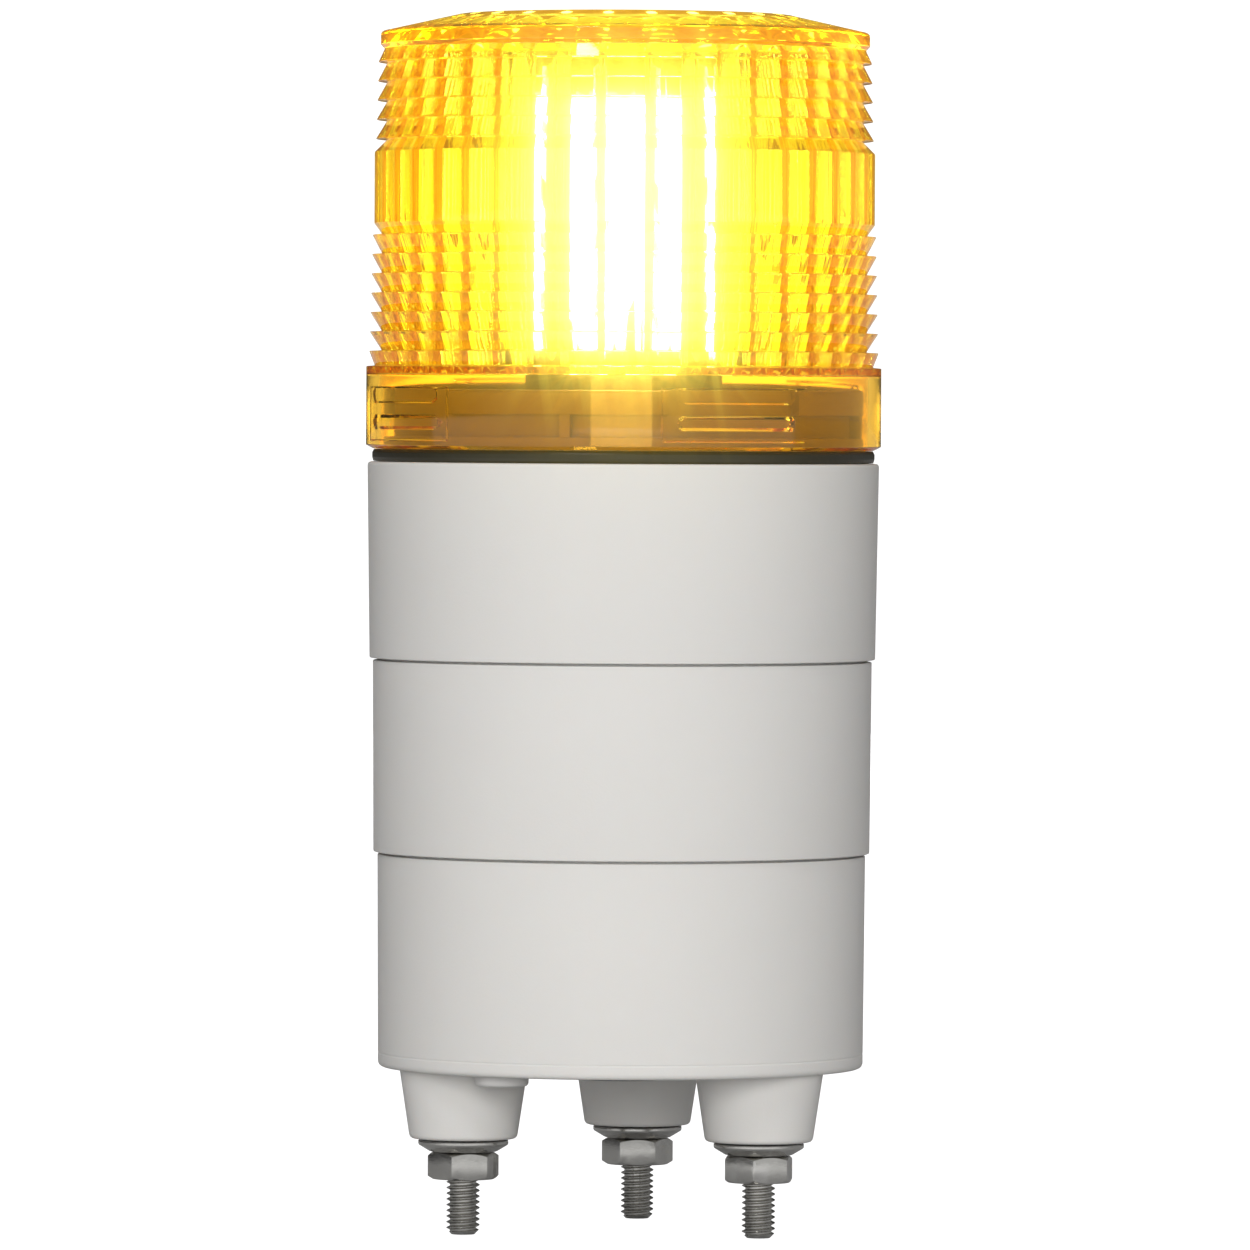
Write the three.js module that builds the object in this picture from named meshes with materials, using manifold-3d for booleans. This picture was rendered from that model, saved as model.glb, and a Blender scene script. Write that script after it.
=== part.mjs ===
// A three-stud LED signal beacon: a stepped round housing on three M3 studs, with a sealed amber
// globe that locks on by a bayonet turn over a square tower of LED boards.
// Millimetres, +Z up. The origin is the centre of the stud circle, on the plane of the boss ends,
// which is the face of the panel that the beacon is bolted to. The studs point down, along -Z.

import * as THREE from 'three';
import { mergeVertices } from 'three/addons/utils/BufferGeometryUtils.js';
import Module from 'manifold-3d';

const wasm = await Module();
wasm.setup();

// ---------------------------------------------------------------- driving dimensions

const FACETS = 40;                 // facets round the large turned parts
const FINE_FACETS = 24;            // facets round the small ones
const SMALL_FACETS = 16;           // facets round screws and their holes
const TOWER_FACETS = 32;           // facets round the light tower's parts
const SEAT_GAP = 0.05;             // between two faces that touch
const RUNNING_GAP = 0.1;           // between parts that slide in or round each other
const PAST = 1;                    // how far a cutting tool runs past what it cuts
const EDGE_BREAK = 0.3;            // small chamfer on moulded and stamped edges
const WELD = 1e-4;                 // vertices closer than this are one

const WALL = 1.8;                  // wall of the casings
const SPIGOT_SHARE = 0.6;          // share of the wall that a spigot is set in by
const FLOOR_BOTTOM = 6.0;          // underside of the housing
const FLOOR_TOP = 8.0;
const EDGE_ROUND = 0.9;            // lower outside edge

// Casings, from the bottom: height span, and the outer radius at each end of its draft.
const LOWER_CASE = { bottom: FLOOR_BOTTOM, top: 24.9, radiusLow: 21.35, radiusHigh: 21.47 };
const MIDDLE_CASE = { bottom: 24.9, top: 41.95, radiusLow: 21.84, radiusHigh: 21.95 };
const UPPER_CASE = { bottom: 41.95, top: 59.2, radiusLow: 22.25, radiusHigh: 22.5 };
const SEAM = 0.2;                  // open line under each step
const SPIGOT_RISE = 2.6;           // overlap of one casing inside the next
const SPIGOT_WALL = 1.0;
const RIM_BREAK = 0.25;            // chamfer on the upper casing's rim

const STUD_CIRCLE = 15.0;          // radius
const STUD_ANGLES = [-150, -30, 90];
const STUD_RADIUS = 1.46;          // M3 over the thread
const STUD_TIP = -8.4;
const STUD_CHAMFER = 0.4;
const STUD_HEAD_HEIGHT = 2.0;
const HEX_ACROSS_FLATS = 5.5;
const BOSS_RADIUS_HIGH = 5.6;
const BOSS_RADIUS_LOW = 4.7;
const BOSS_ROUND = 0.45;
const BOSS_BORE = 1.7;
const BOSS_ROOT = 1;               // how far a boss runs into the floor

const WASHER_RADIUS = 3.95;
const WASHER_BORE = 1.75;
const WASHER_BOTTOM = -1.12;
const WASHER_DISH = [[1.05, -1.12], [0.35, -0.85], [0, -0.5]];   // in from the rim, and height
const NUT_TOP = -1.2;
const NUT_BOTTOM = -3.55;
const NUT_BORE = 1.6;
const NUT_CHAMFER = { across: 0.5, along: 0.3 };
const NUT_YAWS = [-11.65, -2.8, 36.5];   // how each nut happened to stop, as the yaw of its flats

const GROMMET_BORE = 3.05;
const GROMMET_HOLE = 4.3;
const GROMMET_FLANGE = 5.4;
const GROMMET_LIP = { below: 1.0, above: 1.1, bevel: 0.4 };
const VENT = {
  circle: 17.5, angle: -120, radius: 2.35, face: 1.85, shoulder: 2.25, stem: 1.55, hole: 1.8,
  drop: 0.95, barb: 0.6,
};

const SEAL = { inner: 21.3, outer: 22.1, bottom: 59.25, top: 60.3, bevel: 0.13 };

const HOLDER = {
  floorBottom: 58.0, floorTop: 60.0, spigot: 19.9, collar: 21.1, groove: 20.2, bore: 18.6,
  seat: 59.25, grooveBottom: 61.5, grooveTop: 63.4, top: 65.5, wireHole: 3.2,
};
const HOLDER_CLEARANCE = 0.5;      // round the holder's spigot, in the upper casing
const LUG_COUNT = 4;
const LUG_PHASE = -56.5;           // centre of the first bayonet lug when the globe drops on
const LUG_HALF_ANGLE = 15;
const LUGS = [                     // the lug that locks, and the guide bar over it
  { inner: 20.6, bottom: 62.1, top: 63.3 },
  { inner: 21.28, bottom: 64.4, top: 65.8 },
];
const LUG_ROOT = 0.4;              // how far a lug runs into the collar
const SLOT_HALF_ANGLE = 17;
const LOCK_ANGLE = 22;             // turn from dropped on to locked, clockwise from above
const STOP_WIDTH = 2.5;            // degrees
const STOP_ROOT = 0.2;             // how far a stop runs into the ring

const GLOBE = {
  bottom: 60.35, chamferTop: 60.66, chamfer: 0.6, collarRadius: 22.65, collarTop: 67.57,
  socket: 21.5, socketTop: 66.9, inner: 19.6, throatTop: 67.5, hipTop: 95.5, ceilingRadius: 13.0,
  ceiling: 96.85, top: 98.65,
};
const LOWER_TEETH = { count: 7, first: 68.91, pitch: 1.7, tipLow: 22.4, tipHigh: 22.15, notch: 21.3 };
const UPPER_TEETH = { count: 5, first: 87.53, pitch: 1.69, tipLow: 21.9, tipHigh: 21.7, notch: 20.9 };
const BAND = { bottom: 80.14, top: 86.38, radius: 22.0 };
const RIM = { radius: 21.5, bottom: 95.7, top: 96.97, crown: 14.5, crownFlat: 13.4 };

const LAMP_BOARD = { radius: 13.5, bottom: 60.05, thickness: 1.6 };
const TOWER = { bottom: 61.7, top: 90.0, face: 3.9, width: 5.6, thickness: 1.0 };
const LED = { width: 3.5, height: 2.8, depth: 0.8, first: 74.0, pitch: 5.3, perBoard: 3 };
const LIGHT_TUBE = { inner: 6.65, outer: 7.6, bottom: 66.1, top: 91.6 };
const SOCKET = { inner: 5.65, outer: 8.7, bottom: 61.7, shelf: 66.0, collar: 7.8, top: 70.6 };
const FINGER = { radial: 0.7, width: 2.6, tipWidth: 0.8, root: 0.5, inset: 0.02, top: 76.0 };
const CAP_DISC = { radius: 6.4, bottom: 90.05, top: 91.3 };

const HOLDER_SCREW = { circle: 16.2, angles: [30, 150, 270], shank: 1.1, head: 1.9, headHeight: 1.5 };
const SCREW_POST = { circle: 17.6, radius: 3.2, bottom: 46.0, top: 57.95, bore: 1.4, root: 0.3, blind: 2 };

const POWER_BOARD = { radius: 18.6, bottom: 14.05, thickness: 1.6, notchWidth: 6.4, notchFrom: 16.0 };
const BOARD_SEAT = POWER_BOARD.bottom + POWER_BOARD.thickness + SEAT_GAP;
const BOARD_POST = {
  circle: 16.0, angles: [30, 150, 270], radius: 2.4, bore: 1.25, top: 14.0, root: 0.5,
};
const BOARD_SCREW = { shank: 1.0, head: 2.1, headHeight: 1.5, length: 6.5 };
const TRANSFORMER = { width: 12, depth: 13, height: 13, core: 4, rebate: 2 };
const CAPACITORS = [
  { name: 'capacitor_large', x: -12.0, y: -4.5, radius: 4.5, height: 17 },
  { name: 'capacitor_small', x: 12.0, y: -4.5, radius: 4.0, height: 12 },
];
const CAN = { edge: 0.3, footTop: 0.4, grooveDepth: 0.35, groove: [1.6, 2.1, 2.6], crown: 0.5, facets: 20 };
const TERMINAL = { width: 13, depth: 6.5, height: 9, y: 12.3, wellRadius: 1.6, wellDepth: 4, wellPitch: 5 };
const LEAD = {
  radius: 0.6, spread: 1.3, y: 7.9, kneeLow: 34, kneeHigh: 50, bend: 8, drift: 0.6, gap: 0.3, steps: 14,
};
const SCREW_DRIVE = { reach: 1.3, width: 0.5, floor: 0.7 };   // reach as a share of the head
const HOLDER_SCREW_LENGTH = 8;
const DRAFT_STEP = 0.07;           // slope of each ledge between the globe's rings

// ---------------------------------------------------------------- solid modelling helpers

/** Welds a geometry's shared vertices, drops collapsed triangles and turns its faces outward. */
function closed(geometry) {
  geometry.deleteAttribute('normal');
  geometry.deleteAttribute('uv');
  const welded = mergeVertices(geometry, WELD);
  const position = welded.getAttribute('position');
  const kept = [];
  let volume = 0;
  const [a, b, c] = [new THREE.Vector3(), new THREE.Vector3(), new THREE.Vector3()];
  for (let i = 0; i < welded.index.count; i += 3) {
    const corners = [0, 1, 2].map((k) => welded.index.getX(i + k));
    if (new Set(corners).size === 3) {
      [a, b, c].forEach((point, k) => point.fromBufferAttribute(position, corners[k]));
      volume += a.dot(b.cross(c));
      kept.push(corners);
    }
  }
  if (volume < 0) {
    kept.forEach((corners) => corners.reverse());
  }
  welded.setIndex(kept.flat());
  return welded;
}

/** The boolean solid of a geometry. */
function solid(geometry) {
  const shell = closed(geometry);
  return new wasm.Manifold(new wasm.Mesh({
    numProp: 3,
    vertProperties: new Float32Array(shell.getAttribute('position').array),
    triVerts: new Uint32Array(shell.index.array),
  }));
}

/** A solid of revolution about Z. The [radius, height] profile closes on itself or on the axis. */
function turned(profile, facets = FACETS) {
  const onAxis = profile[0][0] === 0;
  const outline = onAxis ? profile : [...profile, profile[0]];
  const geometry = new THREE.LatheGeometry(outline.map(([r, z]) => new THREE.Vector2(r, z)), facets);
  geometry.rotateX(Math.PI / 2);
  return solid(geometry);
}

/** A plain cylinder or cone on Z. */
function cylinder(radius, bottom, top, facets = FINE_FACETS, topRadius = radius) {
  return turned([[0, bottom], [radius, bottom], [topRadius, top], [0, top]], facets);
}

/** A straight prism of an XY outline between two heights. */
function prism(shape, bottom, top, curveSegments = 8) {
  const geometry = new THREE.ExtrudeGeometry(shape, {
    depth: top - bottom, bevelEnabled: false, curveSegments,
  });
  geometry.translate(0, 0, bottom);
  return solid(geometry);
}

/** A box given by its centre in plan and its two heights. */
function block(x, y, width, depth, bottom, top) {
  const geometry = new THREE.BoxGeometry(width, depth, top - bottom);
  geometry.translate(x, y, (bottom + top) / 2);
  return solid(geometry);
}

/** A slice of a ring, between two radii, two heights and two angles in degrees. */
function sector(inner, outer, bottom, top, from, to) {
  const start = THREE.MathUtils.degToRad(from);
  const end = THREE.MathUtils.degToRad(to);
  const steps = Math.max(2, Math.round((to - from) / 7.5));
  const shape = new THREE.Shape();
  for (let i = 0; i <= steps; i += 1) {
    const angle = start + ((end - start) * i) / steps;
    const x = outer * Math.cos(angle);
    const y = outer * Math.sin(angle);
    if (i === 0) {
      shape.moveTo(x, y);
    } else {
      shape.lineTo(x, y);
    }
  }
  for (let i = steps; i >= 0; i -= 1) {
    const angle = start + ((end - start) * i) / steps;
    shape.lineTo(inner * Math.cos(angle), inner * Math.sin(angle));
  }
  return prism(shape, bottom, top);
}

/** A hexagonal bar on Z, its flats square to X before the yaw in degrees. */
function hexagon(acrossFlats, bottom, top, yaw = 0) {
  const radius = acrossFlats / Math.sqrt(3);
  const shape = new THREE.Shape();
  for (let i = 0; i < 6; i += 1) {
    const angle = THREE.MathUtils.degToRad(60 * i + 30 + yaw);
    const point = [radius * Math.cos(angle), radius * Math.sin(angle)];
    if (i === 0) {
      shape.moveTo(...point);
    } else {
      shape.lineTo(...point);
    }
  }
  return prism(shape, bottom, top);
}

/** A point on a circle round Z, as [x, y]. */
function polar(radius, degrees) {
  const angle = THREE.MathUtils.degToRad(degrees);
  return [radius * Math.cos(angle), radius * Math.sin(angle)];
}

/** All the given solids joined. */
function joined(solids) {
  return solids.reduce((whole, piece) => whole.add(piece));
}

/** A named mesh of a solid, in its own material. */
function part(name, body, finish) {
  const mesh = body.getMesh();
  const geometry = new THREE.BufferGeometry();
  geometry.setAttribute('position', new THREE.BufferAttribute(new Float32Array(mesh.vertProperties), 3));
  geometry.setIndex(new THREE.BufferAttribute(new Uint32Array(mesh.triVerts), 1));
  geometry.computeVertexNormals();
  const result = new THREE.Mesh(geometry, finish());
  result.name = name;
  return result;
}

// ---------------------------------------------------------------- finishes

const finish = (color, roughness, metalness = 0) => () => (
  new THREE.MeshStandardMaterial({ color, roughness, metalness }));

const HOUSING_PLASTIC = finish(0xdad8d2, 0.5);
const AMBER_LENS = finish(0xf5a51e, 0.12);
const CLEAR_LENS = finish(0xf4f1e6, 0.1);
const BLACK_RUBBER = finish(0x1c1c1e, 0.7);
const VENT_PLASTIC = finish(0xb9b5bd, 0.45);
const BRIGHT_METAL = finish(0xc9cacb, 0.22, 1);
const BLACK_PLASTIC = finish(0x26262a, 0.5);
const WHITE_BOARD = finish(0xe9e7df, 0.45);
const GREEN_BOARD = finish(0x2f6b45, 0.5);
const LED_PHOSPHOR = finish(0xf3c648, 0.35);
const FERRITE = finish(0x3d3b3a, 0.55);
const CAN_SLEEVE = finish(0x2b3547, 0.4);
const TERMINAL_GREEN = finish(0x3f8f5a, 0.45);
const RED_WIRE = finish(0xb3312c, 0.5);
const BLACK_WIRE = finish(0x222224, 0.5);

// ---------------------------------------------------------------- housing

/** What make() gives, once at each of the given angles on a circle, joined. */
function roundCircle(radius, angles, make) {
  return joined(angles.map((angle) => {
    const [x, y] = polar(radius, angle);
    return make().translate([x, y, 0]);
  }));
}

/** A foot boss under the floor, tapering to its seat, with a rounded end. */
function footBoss() {
  return turned([
    [0, 0],
    [BOSS_RADIUS_LOW - BOSS_ROUND, 0],
    [BOSS_RADIUS_LOW - BOSS_ROUND * 0.25, BOSS_ROUND * 0.35],
    [BOSS_RADIUS_LOW + 0.05, BOSS_ROUND],
    [BOSS_RADIUS_HIGH, FLOOR_BOTTOM],
    [BOSS_RADIUS_HIGH, FLOOR_BOTTOM + BOSS_ROOT],
    [0, FLOOR_BOTTOM + BOSS_ROOT],
  ], FINE_FACETS);
}

/** Radius of a casing's spigot, inside the wall of the casing above. */
function spigotRadius(above) {
  return above.radiusLow - WALL * SPIGOT_SHARE;
}

/** The lower casing: a cup with the foot bosses, and the posts of the power board. */
function lowerCase() {
  const { bottom, radiusLow, radiusHigh } = LOWER_CASE;
  const shoulder = LOWER_CASE.top - SEAM;
  const spigot = spigotRadius(MIDDLE_CASE);
  const inside = spigot - SPIGOT_WALL;
  const shell = turned([
    [0, bottom],
    [radiusLow - EDGE_ROUND, bottom],
    [radiusLow - EDGE_ROUND * 0.3, bottom + EDGE_ROUND * 0.3],
    [radiusLow, bottom + EDGE_ROUND],
    [radiusHigh, shoulder],
    [spigot, shoulder],
    [spigot, shoulder + SPIGOT_RISE],
    [inside, shoulder + SPIGOT_RISE],
    [inside, FLOOR_TOP],
    [0, FLOOR_TOP],
  ]);
  const bosses = roundCircle(STUD_CIRCLE, STUD_ANGLES, footBoss);
  const posts = roundCircle(BOARD_POST.circle, BOARD_POST.angles, () => (
    cylinder(BOARD_POST.radius, FLOOR_TOP - BOARD_POST.root, BOARD_POST.top)));
  const studBores = roundCircle(STUD_CIRCLE, STUD_ANGLES, () => (
    cylinder(BOSS_BORE, -PAST, FLOOR_TOP + PAST)));
  const screwBores = roundCircle(BOARD_POST.circle, BOARD_POST.angles, () => (
    cylinder(BOARD_POST.bore, FLOOR_TOP + BOARD_POST.root, BOARD_POST.top + PAST, SMALL_FACETS)));
  const [ventX, ventY] = polar(VENT.circle, VENT.angle);
  const ventHole = cylinder(VENT.hole, bottom - PAST, FLOOR_TOP + PAST, SMALL_FACETS)
    .translate([ventX, ventY, 0]);
  const body = joined([shell, bosses, posts])
    .subtract(joined([studBores, screwBores, ventHole]))
    .subtract(cylinder(GROMMET_HOLE, bottom - PAST, FLOOR_TOP + PAST));
  return part('case_lower', body, HOUSING_PLASTIC);
}

/** The middle casing, a plain ring that sits on the lower one's spigot. */
function middleCase() {
  const { bottom, radiusLow, radiusHigh } = MIDDLE_CASE;
  const shoulder = MIDDLE_CASE.top - SEAM;
  const spigot = spigotRadius(UPPER_CASE);
  const inside = spigot - SPIGOT_WALL;
  const socket = spigotRadius(MIDDLE_CASE) + RUNNING_GAP;
  const ledge = LOWER_CASE.top - SEAM + SPIGOT_RISE + SEAT_GAP;
  const body = turned([
    [socket, bottom],
    [radiusLow, bottom],
    [radiusHigh, shoulder],
    [spigot, shoulder],
    [spigot, shoulder + SPIGOT_RISE],
    [inside, shoulder + SPIGOT_RISE],
    [inside, ledge],
    [socket, ledge],
  ]);
  return part('case_middle', body, HOUSING_PLASTIC);
}

/** The upper casing, with the posts that the lamp holder is screwed to. */
function upperCase() {
  const { bottom, top, radiusLow, radiusHigh } = UPPER_CASE;
  const inside = HOLDER.spigot + HOLDER_CLEARANCE;
  const socket = spigotRadius(UPPER_CASE) + RUNNING_GAP;
  const ledge = MIDDLE_CASE.top - SEAM + SPIGOT_RISE + SEAT_GAP;
  const shell = turned([
    [socket, bottom],
    [radiusLow, bottom],
    [radiusHigh, top - RIM_BREAK],
    [radiusHigh - RIM_BREAK, top],
    [inside, top],
    [inside, ledge],
    [socket, ledge],
  ]);
  const posts = roundCircle(SCREW_POST.circle, HOLDER_SCREW.angles, () => (
    cylinder(SCREW_POST.radius, SCREW_POST.bottom, SCREW_POST.top)));
  const trim = cylinder(inside + SCREW_POST.root, SCREW_POST.bottom - PAST, SCREW_POST.top + PAST, FACETS);
  const bores = roundCircle(HOLDER_SCREW.circle, HOLDER_SCREW.angles, () => (
    cylinder(SCREW_POST.bore, SCREW_POST.bottom + SCREW_POST.blind, SCREW_POST.top + PAST, SMALL_FACETS)));
  const body = shell.add(posts.intersect(trim)).subtract(bores);
  return part('case_upper', body, HOUSING_PLASTIC);
}

/** The breather plug that is pressed into the floor from below. */
function ventPlug() {
  const [x, y] = polar(VENT.circle, VENT.angle);
  const face = FLOOR_BOTTOM - VENT.drop;
  const flangeTop = FLOOR_BOTTOM - SEAT_GAP;
  const body = turned([
    [0, face],
    [VENT.face, face],
    [VENT.shoulder, face + EDGE_BREAK],
    [VENT.radius, flangeTop],
    [VENT.stem, flangeTop],
    [VENT.stem, FLOOR_TOP + VENT.barb],
    [0, FLOOR_TOP + VENT.barb],
  ], SMALL_FACETS);
  return part('vent_plug', body.translate([x, y, 0]), VENT_PLASTIC);
}

/** The rubber bush that the supply cable passes through, in the middle of the floor. */
function cableGrommet() {
  const waist = GROMMET_HOLE - RUNNING_GAP;
  const rim = GROMMET_FLANGE - GROMMET_LIP.bevel;
  const face = FLOOR_BOTTOM - GROMMET_LIP.below;
  const crown = FLOOR_TOP + GROMMET_LIP.above;
  const body = turned([
    [GROMMET_BORE, face],
    [rim, face],
    [GROMMET_FLANGE, FLOOR_BOTTOM - SEAT_GAP],
    [waist, FLOOR_BOTTOM - SEAT_GAP],
    [waist, FLOOR_TOP + SEAT_GAP],
    [GROMMET_FLANGE, FLOOR_TOP + SEAT_GAP],
    [rim, crown],
    [GROMMET_BORE, crown],
  ], FINE_FACETS);
  return part('cable_grommet', body, BLACK_RUBBER);
}

// ---------------------------------------------------------------- fastening

/** A stud with its hexagon head on the floor, inside the housing. */
function stud(index) {
  const [x, y] = polar(STUD_CIRCLE, STUD_ANGLES[index]);
  const shank = turned([
    [0, STUD_TIP],
    [STUD_RADIUS - STUD_CHAMFER, STUD_TIP],
    [STUD_RADIUS, STUD_TIP + STUD_CHAMFER],
    [STUD_RADIUS, FLOOR_TOP + STUD_HEAD_HEIGHT / 2],
    [0, FLOOR_TOP + STUD_HEAD_HEIGHT / 2],
  ], SMALL_FACETS);
  const headBottom = FLOOR_TOP + SEAT_GAP;
  const head = hexagon(HEX_ACROSS_FLATS, headBottom, headBottom + STUD_HEAD_HEIGHT, STUD_ANGLES[index]);
  return part(`stud_${index + 1}`, shank.add(head).translate([x, y, 0]), BRIGHT_METAL);
}

/** A dished spring washer, its crown towards the nut. */
function washer(index) {
  const [x, y] = polar(STUD_CIRCLE, STUD_ANGLES[index]);
  const body = turned([
    [WASHER_BORE, WASHER_BOTTOM],
    ...WASHER_DISH.map(([inset, height]) => [WASHER_RADIUS - inset, height]),
    [WASHER_RADIUS, -RUNNING_GAP],
    [WASHER_BORE, -RUNNING_GAP],
  ], FINE_FACETS);
  return part(`washer_${index + 1}`, body.translate([x, y, 0]), BRIGHT_METAL);
}

/** A hexagon nut with chamfered corners. */
function nut(index) {
  const [x, y] = polar(STUD_CIRCLE, STUD_ANGLES[index]);
  const corner = HEX_ACROSS_FLATS / Math.sqrt(3);
  const full = corner + SEAT_GAP;
  const face = full - NUT_CHAMFER.across;
  const chamfer = turned([
    [0, NUT_BOTTOM],
    [face, NUT_BOTTOM],
    [full, NUT_BOTTOM + NUT_CHAMFER.along],
    [full, NUT_TOP - NUT_CHAMFER.along],
    [face, NUT_TOP],
    [0, NUT_TOP],
  ], FINE_FACETS);
  const body = hexagon(HEX_ACROSS_FLATS, NUT_BOTTOM, NUT_TOP, NUT_YAWS[index])
    .intersect(chamfer)
    .subtract(cylinder(NUT_BORE, NUT_BOTTOM - PAST, NUT_TOP + PAST, SMALL_FACETS));
  return part(`nut_${index + 1}`, body.translate([x, y, 0]), BRIGHT_METAL);
}

/** A pan head screw on Z, its head bottom at height zero. */
function panScrew(shank, head, headHeight, length) {
  const reach = head * SCREW_DRIVE.reach;
  const floor = headHeight - SCREW_DRIVE.floor;
  const drive = block(0, 0, reach, SCREW_DRIVE.width, floor, headHeight + PAST)
    .add(block(0, 0, SCREW_DRIVE.width, reach, floor, headHeight + PAST));
  return turned([
    [0, -length],
    [shank * 0.5, -length],
    [shank, -length + 0.8],
    [shank, 0],
    [head, 0],
    [head, headHeight * 0.55],
    [head * 0.7, headHeight],
    [0, headHeight],
  ], SMALL_FACETS).subtract(drive);
}

// ---------------------------------------------------------------- lamp holder and seal

/** The ring with the bayonet groove that the globe locks onto, and the lamp board's floor. */
function lampHolder() {
  const h = HOLDER;
  const ring = turned([
    [h.wireHole, h.floorBottom],
    [h.spigot, h.floorBottom],
    [h.spigot, h.seat],
    [h.collar, h.seat],
    [h.collar, h.grooveBottom],
    [h.groove, h.grooveBottom],
    [h.groove, h.grooveTop],
    [h.collar, h.grooveTop],
    [h.collar, h.top],
    [h.bore, h.top],
    [h.bore, h.floorTop],
    [h.wireHole, h.floorTop],
  ]);
  const slots = [];
  const stops = [];
  for (let i = 0; i < LUG_COUNT; i += 1) {
    const centre = LUG_PHASE + (360 / LUG_COUNT) * i;
    const stop = centre - LOCK_ANGLE - SLOT_HALF_ANGLE - 1;
    slots.push(sector(
      h.groove, h.collar + PAST, h.grooveTop - STOP_ROOT, h.top + PAST,
      centre - SLOT_HALF_ANGLE, centre + SLOT_HALF_ANGLE,
    ));
    stops.push(sector(
      h.groove - STOP_ROOT, h.collar - SEAT_GAP, h.grooveBottom - STOP_ROOT, h.grooveTop + STOP_ROOT,
      stop - STOP_WIDTH, stop,
    ));
  }
  const screwHoles = roundCircle(HOLDER_SCREW.circle, HOLDER_SCREW.angles, () => (
    cylinder(SCREW_POST.bore, h.floorBottom - PAST, h.floorTop + PAST, SMALL_FACETS)));
  const body = ring.subtract(joined(slots)).add(joined(stops)).subtract(screwHoles);
  return part('lamp_holder', body, HOUSING_PLASTIC);
}

/** A screw that holds the lamp holder down on the upper casing's posts. */
function holderScrew(index) {
  const [x, y] = polar(HOLDER_SCREW.circle, HOLDER_SCREW.angles[index]);
  const { shank, head, headHeight } = HOLDER_SCREW;
  const body = panScrew(shank, head, headHeight, HOLDER_SCREW_LENGTH)
    .translate([x, y, HOLDER.floorTop + SEAT_GAP]);
  return part(`holder_screw_${index + 1}`, body, BRIGHT_METAL);
}

/** The rubber ring that the globe presses down on the housing's rim. */
function sealRing() {
  const { inner, outer, bottom, top, bevel } = SEAL;
  const body = turned([
    [inner, bottom],
    [outer - bevel, bottom],
    [outer, bottom + bevel],
    [outer, top - bevel],
    [outer - bevel, top],
    [inner, top],
  ]);
  return part('seal_ring', body, BLACK_RUBBER);
}

// ---------------------------------------------------------------- globe

/** Rings below the band: each ledge faces up, and the face under it slopes in as it goes down. */
function lowerTeeth() {
  const { count, first, pitch, tipLow, tipHigh, notch } = LOWER_TEETH;
  const points = [];
  for (let i = 0; i < count; i += 1) {
    const tip = tipLow + ((tipHigh - tipLow) * i) / (count - 1);
    const height = first + pitch * i;
    points.push([tip, height]);
    points.push([notch, height + DRAFT_STEP]);
  }
  return points;
}

/** Rings above the band: each ledge faces down, and the face over it slopes in as it rises. */
function upperTeeth() {
  const { count, first, pitch, tipLow, tipHigh, notch } = UPPER_TEETH;
  const points = [];
  for (let i = 0; i < count; i += 1) {
    const tip = tipLow + ((tipHigh - tipLow) * i) / (count - 1);
    const height = first + pitch * i;
    points.push([notch, height - DRAFT_STEP]);
    points.push([tip, height]);
  }
  return points;
}

/** The ringed lens, with the bayonet lugs inside its collar. */
function globe() {
  const g = GLOBE;
  const shell = turned([
    [0, g.ceiling],
    [g.ceilingRadius, g.ceiling],
    [g.inner - 0.8, g.hipTop],
    [g.inner, g.hipTop - 1],
    [g.inner, g.throatTop],
    [g.socket, g.socketTop],
    [g.socket, g.bottom],
    [g.collarRadius - g.chamfer, g.bottom],
    [g.collarRadius, g.chamferTop],
    [g.collarRadius, g.collarTop],
    [LOWER_TEETH.notch + 0.6, g.collarTop + DRAFT_STEP],
    ...lowerTeeth(),
    [BAND.radius, BAND.bottom],
    [BAND.radius, BAND.top],
    ...upperTeeth(),
    [RIM.radius - 0.35, RIM.bottom - 0.23],
    [RIM.radius, RIM.bottom + 0.15],
    [RIM.radius, RIM.top - 0.4],
    [RIM.radius - 0.4, RIM.top],
    [RIM.crown, g.top - 0.15],
    [RIM.crownFlat, g.top],
    [0, g.top],
  ]);
  const lugs = [];
  for (let i = 0; i < LUG_COUNT; i += 1) {
    const centre = LUG_PHASE + (360 / LUG_COUNT) * i;
    const from = centre - LUG_HALF_ANGLE;
    const to = centre + LUG_HALF_ANGLE;
    LUGS.forEach(({ inner, bottom, top }) => {
      lugs.push(sector(inner, g.socket + LUG_ROOT, bottom, top, from, to));
    });
  }
  return part('globe', shell.add(joined(lugs)), AMBER_LENS);
}

// ---------------------------------------------------------------- light tower

/** The round white board at the tower's foot. */
function lampBoard() {
  const { radius, bottom, thickness } = LAMP_BOARD;
  return part('lamp_board', cylinder(radius, bottom, bottom + thickness, TOWER_FACETS), WHITE_BOARD);
}

/** The four upright boards and the LEDs on them. */
function towerBoards() {
  const meshes = [];
  const sides = ['front', 'right', 'back', 'left'];
  sides.forEach((side, i) => {
    const turn = 90 * i;
    const middleY = -TOWER.face + TOWER.thickness / 2;
    const board = block(0, middleY, TOWER.width, TOWER.thickness, TOWER.bottom, TOWER.top);
    meshes.push(part(`led_board_${side}`, board.rotate([0, 0, turn]), WHITE_BOARD));
    for (let k = 0; k < LED.perBoard; k += 1) {
      const middle = LED.first + LED.pitch * k;
      const y = -TOWER.face - RUNNING_GAP - LED.depth / 2;
      const chip = block(0, y, LED.width, LED.depth, middle - LED.height / 2, middle + LED.height / 2);
      meshes.push(part(`led_${side}_${k + 1}`, chip.rotate([0, 0, turn]), LED_PHOSPHOR));
    }
  });
  return meshes;
}

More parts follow.
